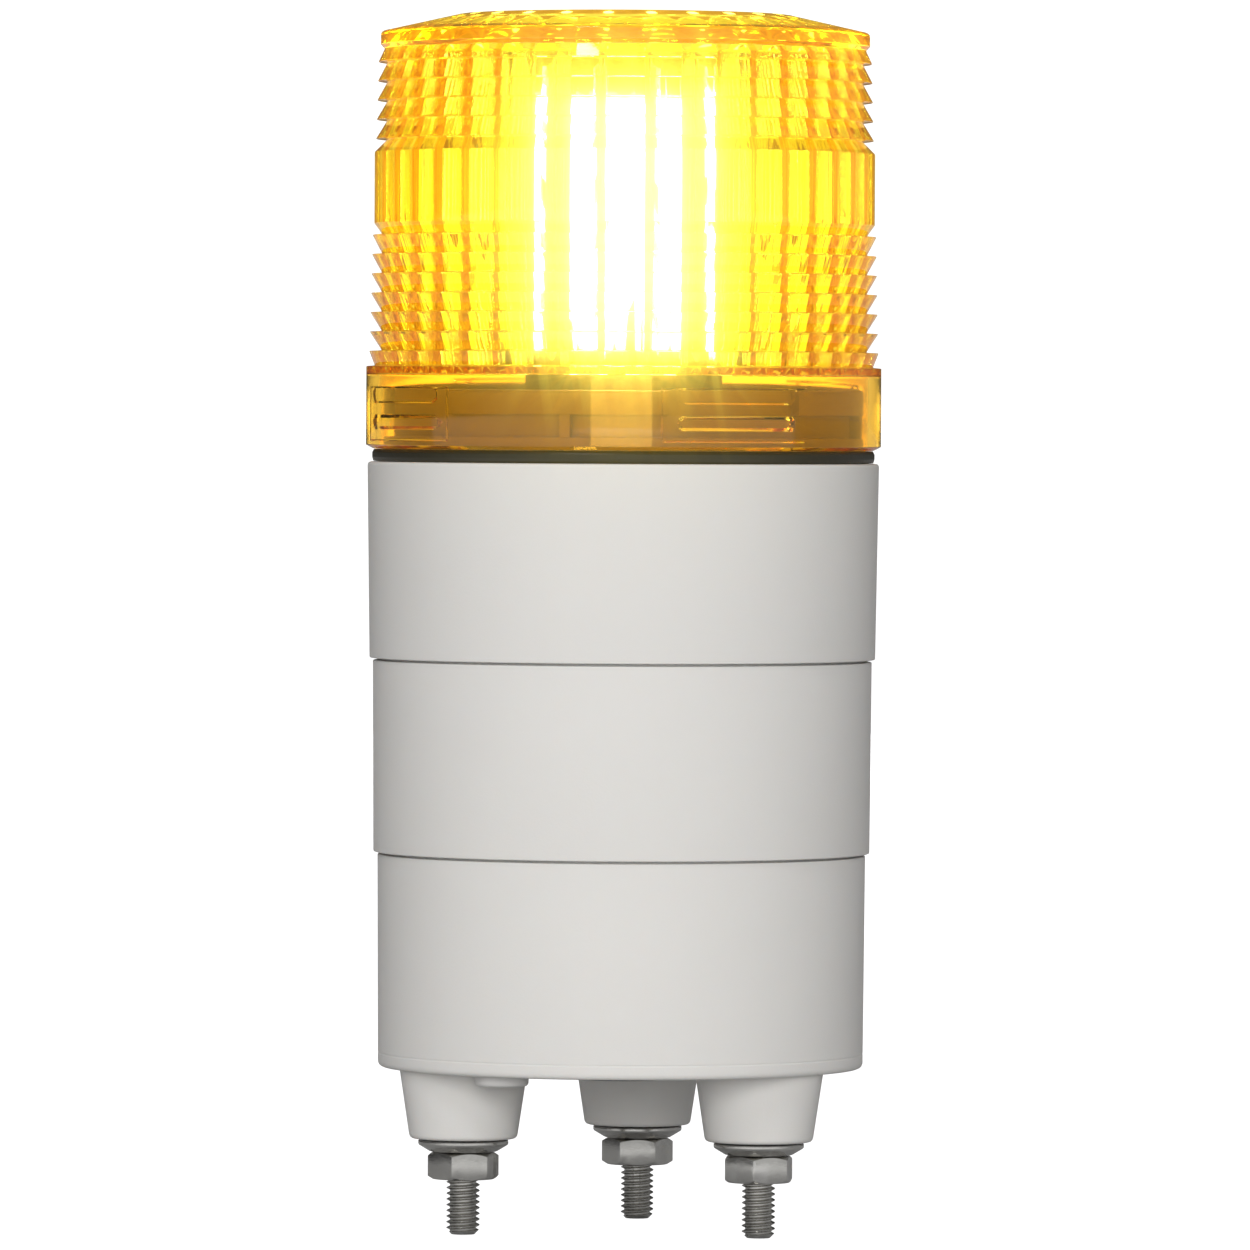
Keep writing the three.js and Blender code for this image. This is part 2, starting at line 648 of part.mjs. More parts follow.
/** The black socket round the foot of the tower: a shelf for the tube, a collar and four fingers. */
function towerSocket() {
  const s = SOCKET;
  const ring = turned([
    [s.inner, s.bottom],
    [s.outer, s.bottom],
    [s.outer, s.top],
    [s.collar, s.top],
    [s.collar, s.shelf],
    [s.inner, s.shelf],
  ], TOWER_FACETS);
  const fingers = [];
  for (let i = 0; i < 4; i += 1) {
    const shape = new THREE.Shape();
    shape.moveTo(-FINGER.width / 2, s.shelf - FINGER.root);
    shape.lineTo(FINGER.width / 2, s.shelf - FINGER.root);
    shape.lineTo(FINGER.tipWidth / 2, FINGER.top);
    shape.lineTo(-FINGER.tipWidth / 2, FINGER.top);
    shape.closePath();
    const plate = new THREE.ExtrudeGeometry(shape, { depth: FINGER.radial, bevelEnabled: false });
    plate.rotateX(Math.PI / 2);
    plate.translate(0, -s.inner - FINGER.inset, 0);
    fingers.push(solid(plate).rotate([0, 0, 90 * i]));
  }
  return part('tower_socket', ring.add(joined(fingers)), BLACK_PLASTIC);
}

/** The clear tube round the LED boards. */
function lightTube() {
  const { inner, outer, bottom, top } = LIGHT_TUBE;
  const body = turned([[inner, bottom], [outer, bottom], [outer, top], [inner, top]], TOWER_FACETS);
  return part('light_tube', body, CLEAR_LENS);
}

/** The disc that closes the tower and ties its boards together. */
function towerCap() {
  const { radius, bottom, top } = CAP_DISC;
  const body = turned([
    [0, bottom],
    [radius, bottom],
    [radius, top - EDGE_BREAK],
    [radius - EDGE_BREAK, top],
    [0, top],
  ], TOWER_FACETS);
  return part('tower_cap', body, WHITE_BOARD);
}

// ---------------------------------------------------------------- power stage

/** The round board on the three posts, with a notch in its edge where the supply cable passes. */
function powerBoard() {
  const { radius, bottom, thickness, notchWidth, notchFrom } = POWER_BOARD;
  const top = bottom + thickness;
  const notch = block(0, notchFrom + radius / 2, notchWidth, radius, bottom - PAST, top + PAST);
  const holes = roundCircle(BOARD_POST.circle, BOARD_POST.angles, () => (
    cylinder(BOARD_POST.bore + RUNNING_GAP, bottom - PAST, top + PAST, SMALL_FACETS)));
  const body = cylinder(radius, bottom, top, TOWER_FACETS).subtract(holes).subtract(notch);
  return part('power_board', body, GREEN_BOARD);
}

/** A screw that holds the power board on its posts. */
function boardScrew(index) {
  const [x, y] = polar(BOARD_POST.circle, BOARD_POST.angles[index]);
  const { shank, head, headHeight, length } = BOARD_SCREW;
  return part(`board_screw_${index + 1}`, panScrew(shank, head, headHeight, length)
    .translate([x, y, BOARD_SEAT]), BRIGHT_METAL);
}

/** The wound transformer: a bobbin block between two ferrite end plates. */
function transformer() {
  const { width, depth, height, core, rebate } = TRANSFORMER;
  const top = BOARD_SEAT + height;
  const body = joined([
    block(0, 0, width - rebate, depth, BOARD_SEAT, top - rebate),
    block(0, 0, width, core, BOARD_SEAT, top),
    block(0, 0, width - rebate * 2, depth - rebate * 1.5, BOARD_SEAT, top - rebate / 2),
  ]);
  return part('transformer', body, FERRITE);
}

/** A can capacitor, with the rolled groove near its foot. */
function capacitor({ name, x, y, radius, height }) {
  const [grooveLow, grooveMiddle, grooveHigh] = CAN.groove;
  const body = turned([
    [0, BOARD_SEAT],
    [radius - CAN.edge, BOARD_SEAT],
    [radius, BOARD_SEAT + CAN.footTop],
    [radius, BOARD_SEAT + grooveLow],
    [radius - CAN.grooveDepth, BOARD_SEAT + grooveMiddle],
    [radius, BOARD_SEAT + grooveHigh],
    [radius, BOARD_SEAT + height - CAN.crown],
    [radius - CAN.crown, BOARD_SEAT + height],
    [0, BOARD_SEAT + height],
  ], CAN.facets);
  return part(name, body.translate([x, y, 0]), CAN_SLEEVE);
}

/** The two-pole block that the supply cable is clamped in. */
function terminalBlock() {
  const { width, depth, height, y, wellRadius, wellDepth, wellPitch } = TERMINAL;
  const top = BOARD_SEAT + height;
  const wells = [-1, 1].map((side) => (
    cylinder(wellRadius, top - wellDepth, top + PAST, SMALL_FACETS)
      .translate([(side * wellPitch) / 2, y, 0])));
  const body = block(0, y, width, depth, BOARD_SEAT, top).subtract(joined(wells));
  return part('terminal_block', body, TERMINAL_GREEN);
}

/** One of the two leads from the power board to the lamp board. */
function lampLead(name, side, material) {
  const x = side * LEAD.spread;
  const base = POWER_BOARD.bottom + POWER_BOARD.thickness + LEAD.gap;
  const path = new THREE.CatmullRomCurve3([
    new THREE.Vector3(x, LEAD.y, base),
    new THREE.Vector3(x, LEAD.y, LEAD.kneeLow - LEAD.bend),
    new THREE.Vector3(x, LEAD.y, LEAD.kneeLow),
    new THREE.Vector3(x, LEAD.drift, LEAD.kneeHigh),
    new THREE.Vector3(x, 0, LAMP_BOARD.bottom - LEAD.gap),
  ]);
  const section = new THREE.Shape();
  section.absarc(0, 0, LEAD.radius, 0, Math.PI * 2);
  const geometry = new THREE.ExtrudeGeometry(section, {
    extrudePath: path, steps: LEAD.steps, curveSegments: 4, bevelEnabled: false,
  });
  return part(name, solid(geometry), material);
}

// ---------------------------------------------------------------- assembly

const beacon = new THREE.Group();
beacon.add(lowerCase(), middleCase(), upperCase(), ventPlug(), cableGrommet());
STUD_ANGLES.forEach((angle, index) => beacon.add(stud(index), washer(index), nut(index)));
beacon.add(lampHolder(), sealRing(), globe());
HOLDER_SCREW.angles.forEach((angle, index) => beacon.add(holderScrew(index)));
beacon.add(lampBoard(), ...towerBoards(), towerSocket(), lightTube(), towerCap());
beacon.add(powerBoard(), transformer(), terminalBlock(), ...CAPACITORS.map(capacitor));
BOARD_POST.angles.forEach((angle, index) => beacon.add(boardScrew(index)));
beacon.add(lampLead('lead_positive', 1, RED_WIRE), lampLead('lead_negative', -1, BLACK_WIRE));

export default beacon;
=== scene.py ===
"""Looks for a three-stud LED signal beacon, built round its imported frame.

The beacon is a stepped round housing on three threaded studs, with a ringed amber globe over a lit
tower of LED boards. Each sub-assembly is a class that holds its sizes in millimetres and makes and
dresses its own pieces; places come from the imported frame.
"""
import logging
import math
from collections.abc import Callable, Sequence
from dataclasses import dataclass, replace
from enum import Enum

import bmesh
import bpy
from mathutils import Matrix, Vector


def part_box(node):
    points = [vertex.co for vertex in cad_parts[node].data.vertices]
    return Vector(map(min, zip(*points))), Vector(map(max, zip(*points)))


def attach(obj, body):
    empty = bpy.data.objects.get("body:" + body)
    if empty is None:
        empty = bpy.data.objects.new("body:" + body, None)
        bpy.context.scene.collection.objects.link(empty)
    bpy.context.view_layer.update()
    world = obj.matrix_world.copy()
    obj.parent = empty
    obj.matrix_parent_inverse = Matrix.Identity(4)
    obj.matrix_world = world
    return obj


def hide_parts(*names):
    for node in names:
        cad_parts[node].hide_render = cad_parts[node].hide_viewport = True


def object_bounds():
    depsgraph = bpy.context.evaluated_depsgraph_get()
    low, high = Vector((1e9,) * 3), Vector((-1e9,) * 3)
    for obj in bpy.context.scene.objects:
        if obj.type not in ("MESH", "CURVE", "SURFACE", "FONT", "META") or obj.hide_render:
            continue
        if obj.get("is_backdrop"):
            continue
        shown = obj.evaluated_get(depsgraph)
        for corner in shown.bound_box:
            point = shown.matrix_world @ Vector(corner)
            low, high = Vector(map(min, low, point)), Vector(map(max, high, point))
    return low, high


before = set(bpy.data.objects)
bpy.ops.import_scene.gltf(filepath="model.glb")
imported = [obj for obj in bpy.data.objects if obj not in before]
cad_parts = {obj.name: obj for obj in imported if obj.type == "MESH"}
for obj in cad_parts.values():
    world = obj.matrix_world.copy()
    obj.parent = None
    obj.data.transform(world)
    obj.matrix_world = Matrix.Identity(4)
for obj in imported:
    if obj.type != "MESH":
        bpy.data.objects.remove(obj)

log = logging.getLogger("beacon")

MM = 0.001                      # the scene is in metres, the sizes below in millimetres
ROUND_STEPS = 5                 # facets on the round of a turned corner
TUBE_FACES = 2                  # faces that a ray crosses through the light tube
GLOBE_FACES = 2                 # and through the globe's wall
MANY_FACES = 50                 # more than any ray crosses
SHARP_ANGLE = math.radians(32)  # edges steeper than this stay crisp

Colour = tuple[float, float, float]
Point = tuple[float, float]
Feed = float | tuple[float, ...] | bpy.types.NodeSocket


# ---------------------------------------------------------------- mesh tools


class Cut(Enum):
    """How one solid acts on another."""

    REMOVE = "DIFFERENCE"
    ADD = "UNION"
    KEEP = "INTERSECT"


class Zone(Enum):
    """The parts of the globe, which scatter the lamp's light each in its own way, with painted glow in the
    body and crown and painted glints in the dimples.
    """

    BODY = "body"
    COLLAR = "collar"
    CROWN = "crown"
    DIMPLE = "dimple"


@dataclass(frozen=True)
class Corner:
    """A corner of a turned outline, in millimetres: its radius, its height and the round on it."""

    r: float
    z: float
    round: float = 0.0


def outline(corners: Sequence[Corner], closed: bool) -> list[Point]:
    """Turns corners into an outline with their rounds as short curves.

    Args:
        corners: The corners in order, in millimetres.
        closed: Whether the last corner joins the first.

    Returns:
        The outline's points as radius and height, in metres.
    """
    points: list[Point] = []
    last = len(corners) - 1
    for i, corner in enumerate(corners):
        here = Vector((corner.r, corner.z))
        ends = not closed and i in (0, last)
        if ends or corner.round <= 0:
            points.append((here.x * MM, here.y * MM))
            continue
        before = Vector((corners[i - 1].r, corners[i - 1].z)) - here
        after = Vector((corners[(i + 1) % len(corners)].r, corners[(i + 1) % len(corners)].z)) - here
        half = before.angle(after) / 2
        reach = min(corner.round / math.tan(half), before.length * 0.49, after.length * 0.49)
        start = here + before.normalized() * reach
        end = here + after.normalized() * reach
        for k in range(ROUND_STEPS + 1):
            t = k / ROUND_STEPS
            spot = start * (1 - t) ** 2 + here * 2 * t * (1 - t) + end * t ** 2
            points.append((spot.x * MM, spot.y * MM))
    return points


def shade(obj: bpy.types.Object, angle: float = SHARP_ANGLE) -> bpy.types.Object:
    """Shades an object smooth, with its steep edges left sharp and its faces pointing out.

    Args:
        obj: The object.
        angle: The face angle past which an edge stays sharp, in radians.

    Returns:
        The same object.
    """
    work = bmesh.new()
    work.from_mesh(obj.data)
    bmesh.ops.remove_doubles(work, verts=work.verts, dist=1e-7)
    bmesh.ops.dissolve_degenerate(work, edges=work.edges, dist=1e-8)
    bmesh.ops.recalc_face_normals(work, faces=work.faces)
    for edge in work.edges:
        edge.smooth = len(edge.link_faces) == 2 and edge.calc_face_angle(0.0) < angle
    for face in work.faces:
        face.smooth = True
    work.to_mesh(obj.data)
    work.free()
    return obj


def add_mesh(name: str, vertices: Sequence[Sequence[float]],
             faces: Sequence[Sequence[int]]) -> bpy.types.Object:
    """Makes an object from vertices and faces.

    Args:
        name: The object's name.
        vertices: Places in metres.
        faces: Vertex numbers of each face.

    Returns:
        The shaded object, linked to the scene.
    """
    mesh = bpy.data.meshes.new(name)
    mesh.from_pydata(vertices, [], faces)
    obj = bpy.data.objects.new(name, mesh)
    bpy.context.scene.collection.objects.link(obj)
    return shade(obj)


def revolve(
    name: str,
    points: Sequence[Point],
    segments: int = 192,
    shift: Callable[[float, float, float], Point] | None = None,
    centre: Point = (0.0, 0.0),
) -> bpy.types.Object:
    """Turns an outline about a vertical axis.

    Args:
        name: The object's name.
        points: Radius and height of each point, in metres. An outline that starts on the axis ends
            on it too; any other closes on itself.
        segments: Facets round the axis.
        shift: Gives a changed radius and height from an angle, a radius and a height.
        centre: The axis's place, in metres.

    Returns:
        The turned object.
    """
    on_axis = points[0][0] < 1e-9
    vertices: list[tuple[float, float, float]] = []
    rows: list[list[int]] = []
    for radius, height in points:
        if radius < 1e-9:
            rows.append([len(vertices)] * segments)
            vertices.append((centre[0], centre[1], height))
            continue
        row = []
        for k in range(segments):
            angle = math.tau * k / segments
            r, z = shift(angle, radius, height) if shift else (radius, height)
            row.append(len(vertices))
            vertices.append((centre[0] + r * math.cos(angle), centre[1] + r * math.sin(angle), z))
        rows.append(row)
    faces = []
    bands = len(rows) - 1 if on_axis else len(rows)
    for i in range(bands):
        low, high = rows[i], rows[(i + 1) % len(rows)]
        for k in range(segments):
            n = (k + 1) % segments
            ring = [low[k], low[n], high[n], high[k]]
            face = [v for j, v in enumerate(ring) if v not in ring[:j]]
            if len(face) > 2:
                faces.append(face)
    return add_mesh(name, vertices, faces)


def turned(name: str, corners: Sequence[Corner], segments: int = 192,
           centre: Point = (0.0, 0.0)) -> bpy.types.Object:
    """Turns corners, in millimetres, about a vertical axis whose centre is in metres."""
    closed = corners[0].r > 0
    return revolve(name, outline(corners, closed), segments, centre=centre)


def rod(name: str, radius: float, span: Point, segments: int, centre: Point = (0.0, 0.0),
        rounds: Point = (0.0, 0.0)) -> bpy.types.Object:
    """Makes a plain upright rod.

    Args:
        name: The object's name.
        radius: In millimetres.
        span: Heights of its foot and its top, in millimetres.
        segments: Facets round the axis.
        centre: The axis's place, in metres.
        rounds: The rounds at its foot and its top, in millimetres.

    Returns:
        The rod.
    """
    low, high = span
    side = [Corner(radius, low, rounds[0]), Corner(radius, high, rounds[1])]
    return turned(name, [Corner(0, low), *side, Corner(0, high)], segments, centre)


def prism(name: str, shape: Sequence[Point], low: float, high: float) -> bpy.types.Object:
    """Makes a straight prism of a flat outline.

    Args:
        name: The object's name.
        shape: The outline in plan, in metres.
        low: Height of its foot, in metres.
        high: Height of its top, in metres.

    Returns:
        The prism.
    """
    count = len(shape)
    vertices = [(x, y, low) for x, y in shape] + [(x, y, high) for x, y in shape]
    faces: list[list[int]] = [list(range(count)), [count + k for k in range(count)]]
    for k in range(count):
        n = (k + 1) % count
        faces.append([k, n, count + n, count + k])
    return add_mesh(name, vertices, faces)


def bake_modifiers(obj: bpy.types.Object) -> bpy.types.Object:
    """Replaces an object's mesh by what its modifiers make of it, and drops them."""
    graph = bpy.context.evaluated_depsgraph_get()
    made = bpy.data.meshes.new_from_object(obj.evaluated_get(graph))
    obj.modifiers.clear()
    obj.data = made
    return obj


def cut(obj: bpy.types.Object, tools: Sequence[bpy.types.Object], how: Cut) -> bpy.types.Object:
    """Cuts, joins or trims an object with others, which are used up.

    Args:
        obj: The object that stays.
        tools: The objects that act on it.
        how: What they do.

    Returns:
        The changed object.
    """
    for tool in tools:
        modifier = obj.modifiers.new("cut", "BOOLEAN")
        modifier.operation = how.value
        modifier.solver = "EXACT"
        modifier.object = tool
    bake_modifiers(obj)
    for tool in tools:
        bpy.data.objects.remove(tool)
    return shade(obj)


def soften(obj: bpy.types.Object, width: float, segments: int = 3) -> bpy.types.Object:
    """Rounds an object's sharp edges.

    Args:
        obj: The object.
        width: The round's width in millimetres.
        segments: Facets across the round.

    Returns:
        The changed object.
    """
    modifier = obj.modifiers.new("round", "BEVEL")
    modifier.width = width * MM
    modifier.segments = segments
    modifier.limit_method = "ANGLE"
    modifier.angle_limit = math.radians(25)
    return shade(bake_modifiers(obj))


def polar(radius: float, degrees: float) -> Point:
    """Gives the plan place at a radius and an angle, in the radius's own unit."""
    angle = math.radians(degrees)
    return radius * math.cos(angle), radius * math.sin(angle)


def middle(node: str) -> Point:
    """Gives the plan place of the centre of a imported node's box, in metres."""
    low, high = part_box(node)
    return (low.x + high.x) / 2, (low.y + high.y) / 2


def heights(node: str) -> Point:
    """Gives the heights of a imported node's foot and top, in millimetres."""
    low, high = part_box(node)
    return low.z / MM, high.z / MM


def half_width(node: str) -> float:
    """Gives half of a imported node's width, in millimetres."""
    low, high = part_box(node)
    return (high.x - low.x) / 2 / MM


def rods(name: str, radius: float, span: Point, segments: int, circle: float, angles: Sequence[float],
         rounds: Point = (0.0, 0.0)) -> list[bpy.types.Object]:
    """Makes a ring of plain upright rods, in millimetres and degrees, round the beacon's axis."""
    return [rod(name, radius, span, segments, polar(circle * MM, angle), rounds) for angle in angles]


def place(obj: bpy.types.Object, body: str, material: bpy.types.Material | None,
          nodes: Sequence[str]) -> bpy.types.Object:
    """Gives a finished piece its material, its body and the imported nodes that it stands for.

    Args:
        obj: The piece.
        body: The body that it moves with.
        material: Its finish, or None where its faces already have theirs.
        nodes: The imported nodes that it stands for.

    Returns:
        The same piece.
    """
    if material is not None:
        obj.data.materials.clear()
        obj.data.materials.append(material)
    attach(obj, body)
    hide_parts(*nodes)
    log.info("%s stands for %s on %s", obj.name, ", ".join(nodes), body)
    return obj


def dress(node: str, material: bpy.types.Material) -> None:
    """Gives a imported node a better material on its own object."""
    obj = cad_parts[node]
    for socket in obj.material_slots:
        socket.material = material
    log.info("%s keeps its packed shape", node)


# ---------------------------------------------------------------- node groups and finishes


class Bench:
    """Adds nodes to one node tree and links them."""

    def __init__(self, tree: bpy.types.NodeTree) -> None:
        """Works on the given tree."""
        self.tree = tree

    def add(self, kind: str, feeds: dict[str | int, Feed] | None = None, **values: object) -> bpy.types.Node:
        """Adds a node.

        Args:
            kind: The node's type name.
            feeds: What its inputs take, by name or number.
            **values: Properties to set on it.

        Returns:
            The new node.
        """
        node = self.tree.nodes.new(kind)
        for key, value in values.items():
            setattr(node, key, value)
        self.feed(node, feeds or {})
        return node

    def feed(self, node: bpy.types.Node, feeds: dict[str | int, Feed]) -> None:
        """Fills a node's inputs.

        Args:
            node: The node.
            feeds: An output to link, or else the input's own value, by the input's name or number.
        """
        for label, value in feeds.items():
            if isinstance(value, bpy.types.NodeSocket):
                self.tree.links.new(value, node.inputs[label])
            else:
                node.inputs[label].default_value = value

    def math(self, operation: str, *terms: Feed, clamp: bool = False) -> bpy.types.NodeSocket:
        """Adds a sum of its terms, held between 0 and 1 if it is clamped, and gives its result."""
        node = self.add("ShaderNodeMath", dict(enumerate(terms)), operation=operation, use_clamp=clamp)
        return node.outputs["Value"]

    def mix(self, share: Feed, first: Feed, second: Feed) -> bpy.types.NodeSocket:
        """Mixes two colours.

        Args:
            share: The second colour's share.
            first: The first colour.
            second: The second colour.

        Returns:
            The result's socket.
        """
        node = self.add("ShaderNodeMix", data_type="RGBA")
        self.feed(node, {"Factor": share, "A": first, "B": second})
        return node.outputs["Result"]

    def mix_shaders(self, share: Feed, first: Feed, second: Feed) -> bpy.types.NodeSocket:
        """Mixes two shaders by the second one's share, and gives the result."""
        return self.add("ShaderNodeMixShader", {"Fac": share, 1: first, 2: second}).outputs["Shader"]

    def span(self, value: Feed, given: Point, result: Point, kind: str = "LINEAR") -> bpy.types.NodeSocket:
        """Maps a value from one range to another, and holds it there.

        Args:
            value: The value.
            given: The ends of its own range.
            result: What they turn into.
            kind: How the result runs between them.

        Returns:
            The result's socket.
        """
        labels = ("From Min", "From Max", "To Min", "To Max")
        feeds = {"Value": value, **dict(zip(labels, (*given, *result)))}
        return self.add("ShaderNodeMapRange", feeds, interpolation_type=kind).outputs["Result"]

    def axes(self, space: str) -> bpy.types.NodeOutputs:
        """Splits a texture coordinate into X, Y and Z."""
        source = self.add("ShaderNodeTexCoord").outputs[space]
        return self.add("ShaderNodeSeparateXYZ", {"Vector": source}).outputs


def new_group(name: str, inputs: dict[str, float], outputs: Sequence[str]
              ) -> tuple[Bench, bpy.types.NodeOutputs, bpy.types.Node]:
    """Starts a shader node group of plain values.

    Args:
        name: The group's name.
        inputs: Each input's default, by name.
        outputs: Each output's name.

    Returns:
        The group's bench, what the group is given, and the node that takes its results.
    """
    tree = bpy.data.node_groups.new(name, "ShaderNodeTree")
    for label, default in inputs.items():
        socket = tree.interface.new_socket(label, in_out="INPUT", socket_type="NodeSocketFloat")
        socket.default_value = default
    for label in outputs:
        tree.interface.new_socket(label, in_out="OUTPUT", socket_type="NodeSocketFloat")
    given = tree.nodes.new("NodeGroupInput").outputs
    return Bench(tree), given, tree.nodes.new("NodeGroupOutput")


def noise(bench: Bench, scale: Feed, detail: float, roughness: float = 0.5) -> bpy.types.NodeSocket:
    """Adds solid noise in object space.

    Args:
        bench: The node tree.
        scale: The noise's scale.
        detail: How many finer layers it has.
        roughness: How strong they are.

    Returns:
        The noise's socket.
    """
    place_node = bench.add("ShaderNodeTexCoord")
    feeds = {"Vector": place_node.outputs["Object"], "Scale": scale, "Detail": detail, "Roughness": roughness}
    return bench.add("ShaderNodeTexNoise", feeds, noise_dimensions="3D").outputs["Fac"]


def grain_group() -> bpy.types.NodeTree:
    """Builds the moulded grain: a fine height and a slow mottle, both in object space.

    Returns:
        The group, with Height and Mottle from 0 to 1.
    """
    bench, given, result = new_group(
        "MouldedGrain", {"Grain Scale": 2500.0, "Mottle Scale": 90.0}, ("Height", "Mottle"))
    height = noise(bench, given["Grain Scale"], 3.0, 0.6)
    mottle = noise(bench, given["Mottle Scale"], 4.0)
    bench.feed(result, {"Height": height, "Mottle": mottle})
    return bench.tree


def wear_group() -> bpy.types.NodeTree:
    """Builds edge wear: where the surface turns outward sharply, broken up by noise.

    Returns:
        The group, with a Mask from 0 to 1.
    """
    bench, given, result = new_group(
        "EdgeWear", {"Threshold": 0.56, "Softness": 0.06, "Break Scale": 900.0}, ("Mask",))
    surface = bench.add("ShaderNodeNewGeometry")
    past = bench.math("SUBTRACT", surface.outputs["Pointiness"], given["Threshold"])
    share = bench.math("DIVIDE", past, given["Softness"], clamp=True)
    broken = noise(bench, given["Break Scale"], 3.0)
    bench.feed(result, {"Mask": bench.math("MULTIPLY", share, broken, clamp=True)})
    return bench.tree


def height_group() -> bpy.types.NodeTree:
    """Builds a mask by height: one between two heights, fading to nothing past each.

    Returns:
        The group, with a Mask from 0 to 1.
    """
    bench, given, result = new_group("HeightBand", {"Low": 0.0, "High": 0.1, "Fade": 0.002}, ("Mask",))
    height = bench.axes("Object")["Z"]
    sides = []
    for gap in (bench.math("SUBTRACT", height, given["Low"]), bench.math("SUBTRACT", given["High"], height)):
        share = bench.math("DIVIDE", gap, given["Fade"])
        sides.append(bench.math("ADD", share, 1.0, clamp=True))
    bench.feed(result, {"Mask": bench.math("MULTIPLY", *sides)})
    return bench.tree


class Groups:
    """The node groups that more than one finish uses, each built once."""

    _built: dict[str, bpy.types.NodeTree] = {}

    @classmethod
    def get(cls, maker: Callable[[], bpy.types.NodeTree]) -> bpy.types.NodeTree:
        """Builds a group the first time it is asked for.

        Args:
            maker: The function that builds it.

        Returns:
            The group.
        """
        if maker.__name__ not in cls._built:
            cls._built[maker.__name__] = maker()
        return cls._built[maker.__name__]


def new_material(name: str) -> tuple[bpy.types.Material, Bench, bpy.types.Node]:
    """Starts a material.

    Args:
        name: The material's name.

    Returns:
        The material, its bench and its shader.
    """
    material = bpy.data.materials.new(name)
    material.use_nodes = True
    return material, Bench(material.node_tree), material.node_tree.nodes["Principled BSDF"]


def spread(bench: Bench, mottle: bpy.types.NodeSocket, middling: float,
           change: float) -> bpy.types.NodeSocket:
    """Gives a share that the mottle varies to each side of its middling value."""
    return bench.span(mottle, (0.0, 1.0), (max(0.0, middling - change), min(1.0, middling + change)))


@dataclass(frozen=True)
class Finish:
    """A finish with a plain colour, broken up by moulded grain and a slow mottle."""

    name: str
    colour: Colour
    roughness: float
    metallic: float = 0.0
    grain: float = 0.02            # depth of the grain in millimetres
    grain_scale: float = 2500.0
    mottle: float = 0.06           # share by which the colour varies
    mottle_scale: float = 90.0
    roughness_spread: float = 0.08
    subsurface: float = 0.0
    specular: float = 0.5
    coat: float = 0.0

    def build(self) -> bpy.types.Material:
        """Makes the material.

        Returns:
            The material, ready for use.
        """
        material, bench, shader = new_material(self.name)
        grain = bench.add("ShaderNodeGroup", node_tree=Groups.get(grain_group))
        bench.feed(grain, {"Grain Scale": self.grain_scale, "Mottle Scale": self.mottle_scale})
        mottle = grain.outputs["Mottle"]
        bump = bench.add("ShaderNodeBump", {"Distance": self.grain * MM, "Height": grain.outputs["Height"]})
        bench.feed(shader, {
            "Base Color": self._colour(bench, mottle),
            "Metallic": self.metallic,
            "Roughness": spread(bench, mottle, self.roughness, self.roughness_spread),
            "Specular IOR Level": self.specular,
            "Coat Weight": self.coat,
            "Normal": bump.outputs["Normal"],
        })
        if self.subsurface:
            bench.feed(shader, {
                "Subsurface Weight": self.subsurface,
                "Subsurface Radius": (1.0, 0.7, 0.5),
                "Subsurface Scale": 0.4 * MM,
            })
        return material

    def _colour(self, bench: Bench, mottle: bpy.types.NodeSocket) -> bpy.types.NodeSocket:
        """Gives the base colour: the finish's own, a little darker and lighter by the mottle."""
        dark = (*[c * (1 - self.mottle) for c in self.colour], 1)
        light = (*[min(1.0, c * (1 + self.mottle)) for c in self.colour], 1)
        return bench.mix(mottle, dark, light)


@dataclass(frozen=True)
class PlatedSteel(Finish):
    """Bright zinc plating: worn edges brighter, flats a little clouded."""

    worn: Colour = (0.86, 0.85, 0.83)

    def _colour(self, bench: Bench, mottle: bpy.types.NodeSocket) -> bpy.types.NodeSocket:
        """Gives the base colour: the plating, mottled, and brighter where edges are rubbed."""
        wear = bench.add("ShaderNodeGroup", node_tree=Groups.get(wear_group))
        return bench.mix(wear.outputs["Mask"], super()._colour(bench, mottle), (*self.worn, 1))


@dataclass(frozen=True)
class ClearPlastic:
    """A clear or tinted moulding: light is bent at its faces and tinted by the depth it crosses."""

    name: str
    wall: Colour                   # what each wall lets through
    tint: Colour = (1, 1, 1)       # colour of the light that the depth lets through
    density: float = 0.0           # absorption per metre
    glow: Colour | None = None     # painted glow for the lamp's light that the lit body scatters
    glow_strength: float = 1.0
    glow_band: tuple[float, float, float] = (0.0, 0.1, 0.005)    # low, high and fade, in metres
    roughness: float = 0.03
    roughness_spread: float = 0.02
    ior: float = 1.53

    def build(self) -> bpy.types.Material:
        """Makes the material.

        Returns:
            The material, ready for use.
        """
        material, bench, shader = new_material(self.name)
        grain = bench.add("ShaderNodeGroup", node_tree=Groups.get(grain_group))
        bench.feed(shader, {
            "Base Color": (*self.wall, 1),
            "Transmission Weight": 1.0,
            "IOR": self.ior,
            "Roughness": spread(bench, grain.outputs["Mottle"], self.roughness, self.roughness_spread),
        })
        if self.density:
            depth = bench.add("ShaderNodeVolumeAbsorption")
            bench.feed(depth, {"Color": (*self.tint, 1), "Density": self.density})
            bench.feed(material.node_tree.nodes["Material Output"], {"Volume": depth.outputs["Volume"]})
        if self.glow:
            add_glow(bench, shader, self.glow, self.glow_strength, self.glow_band)
        return material


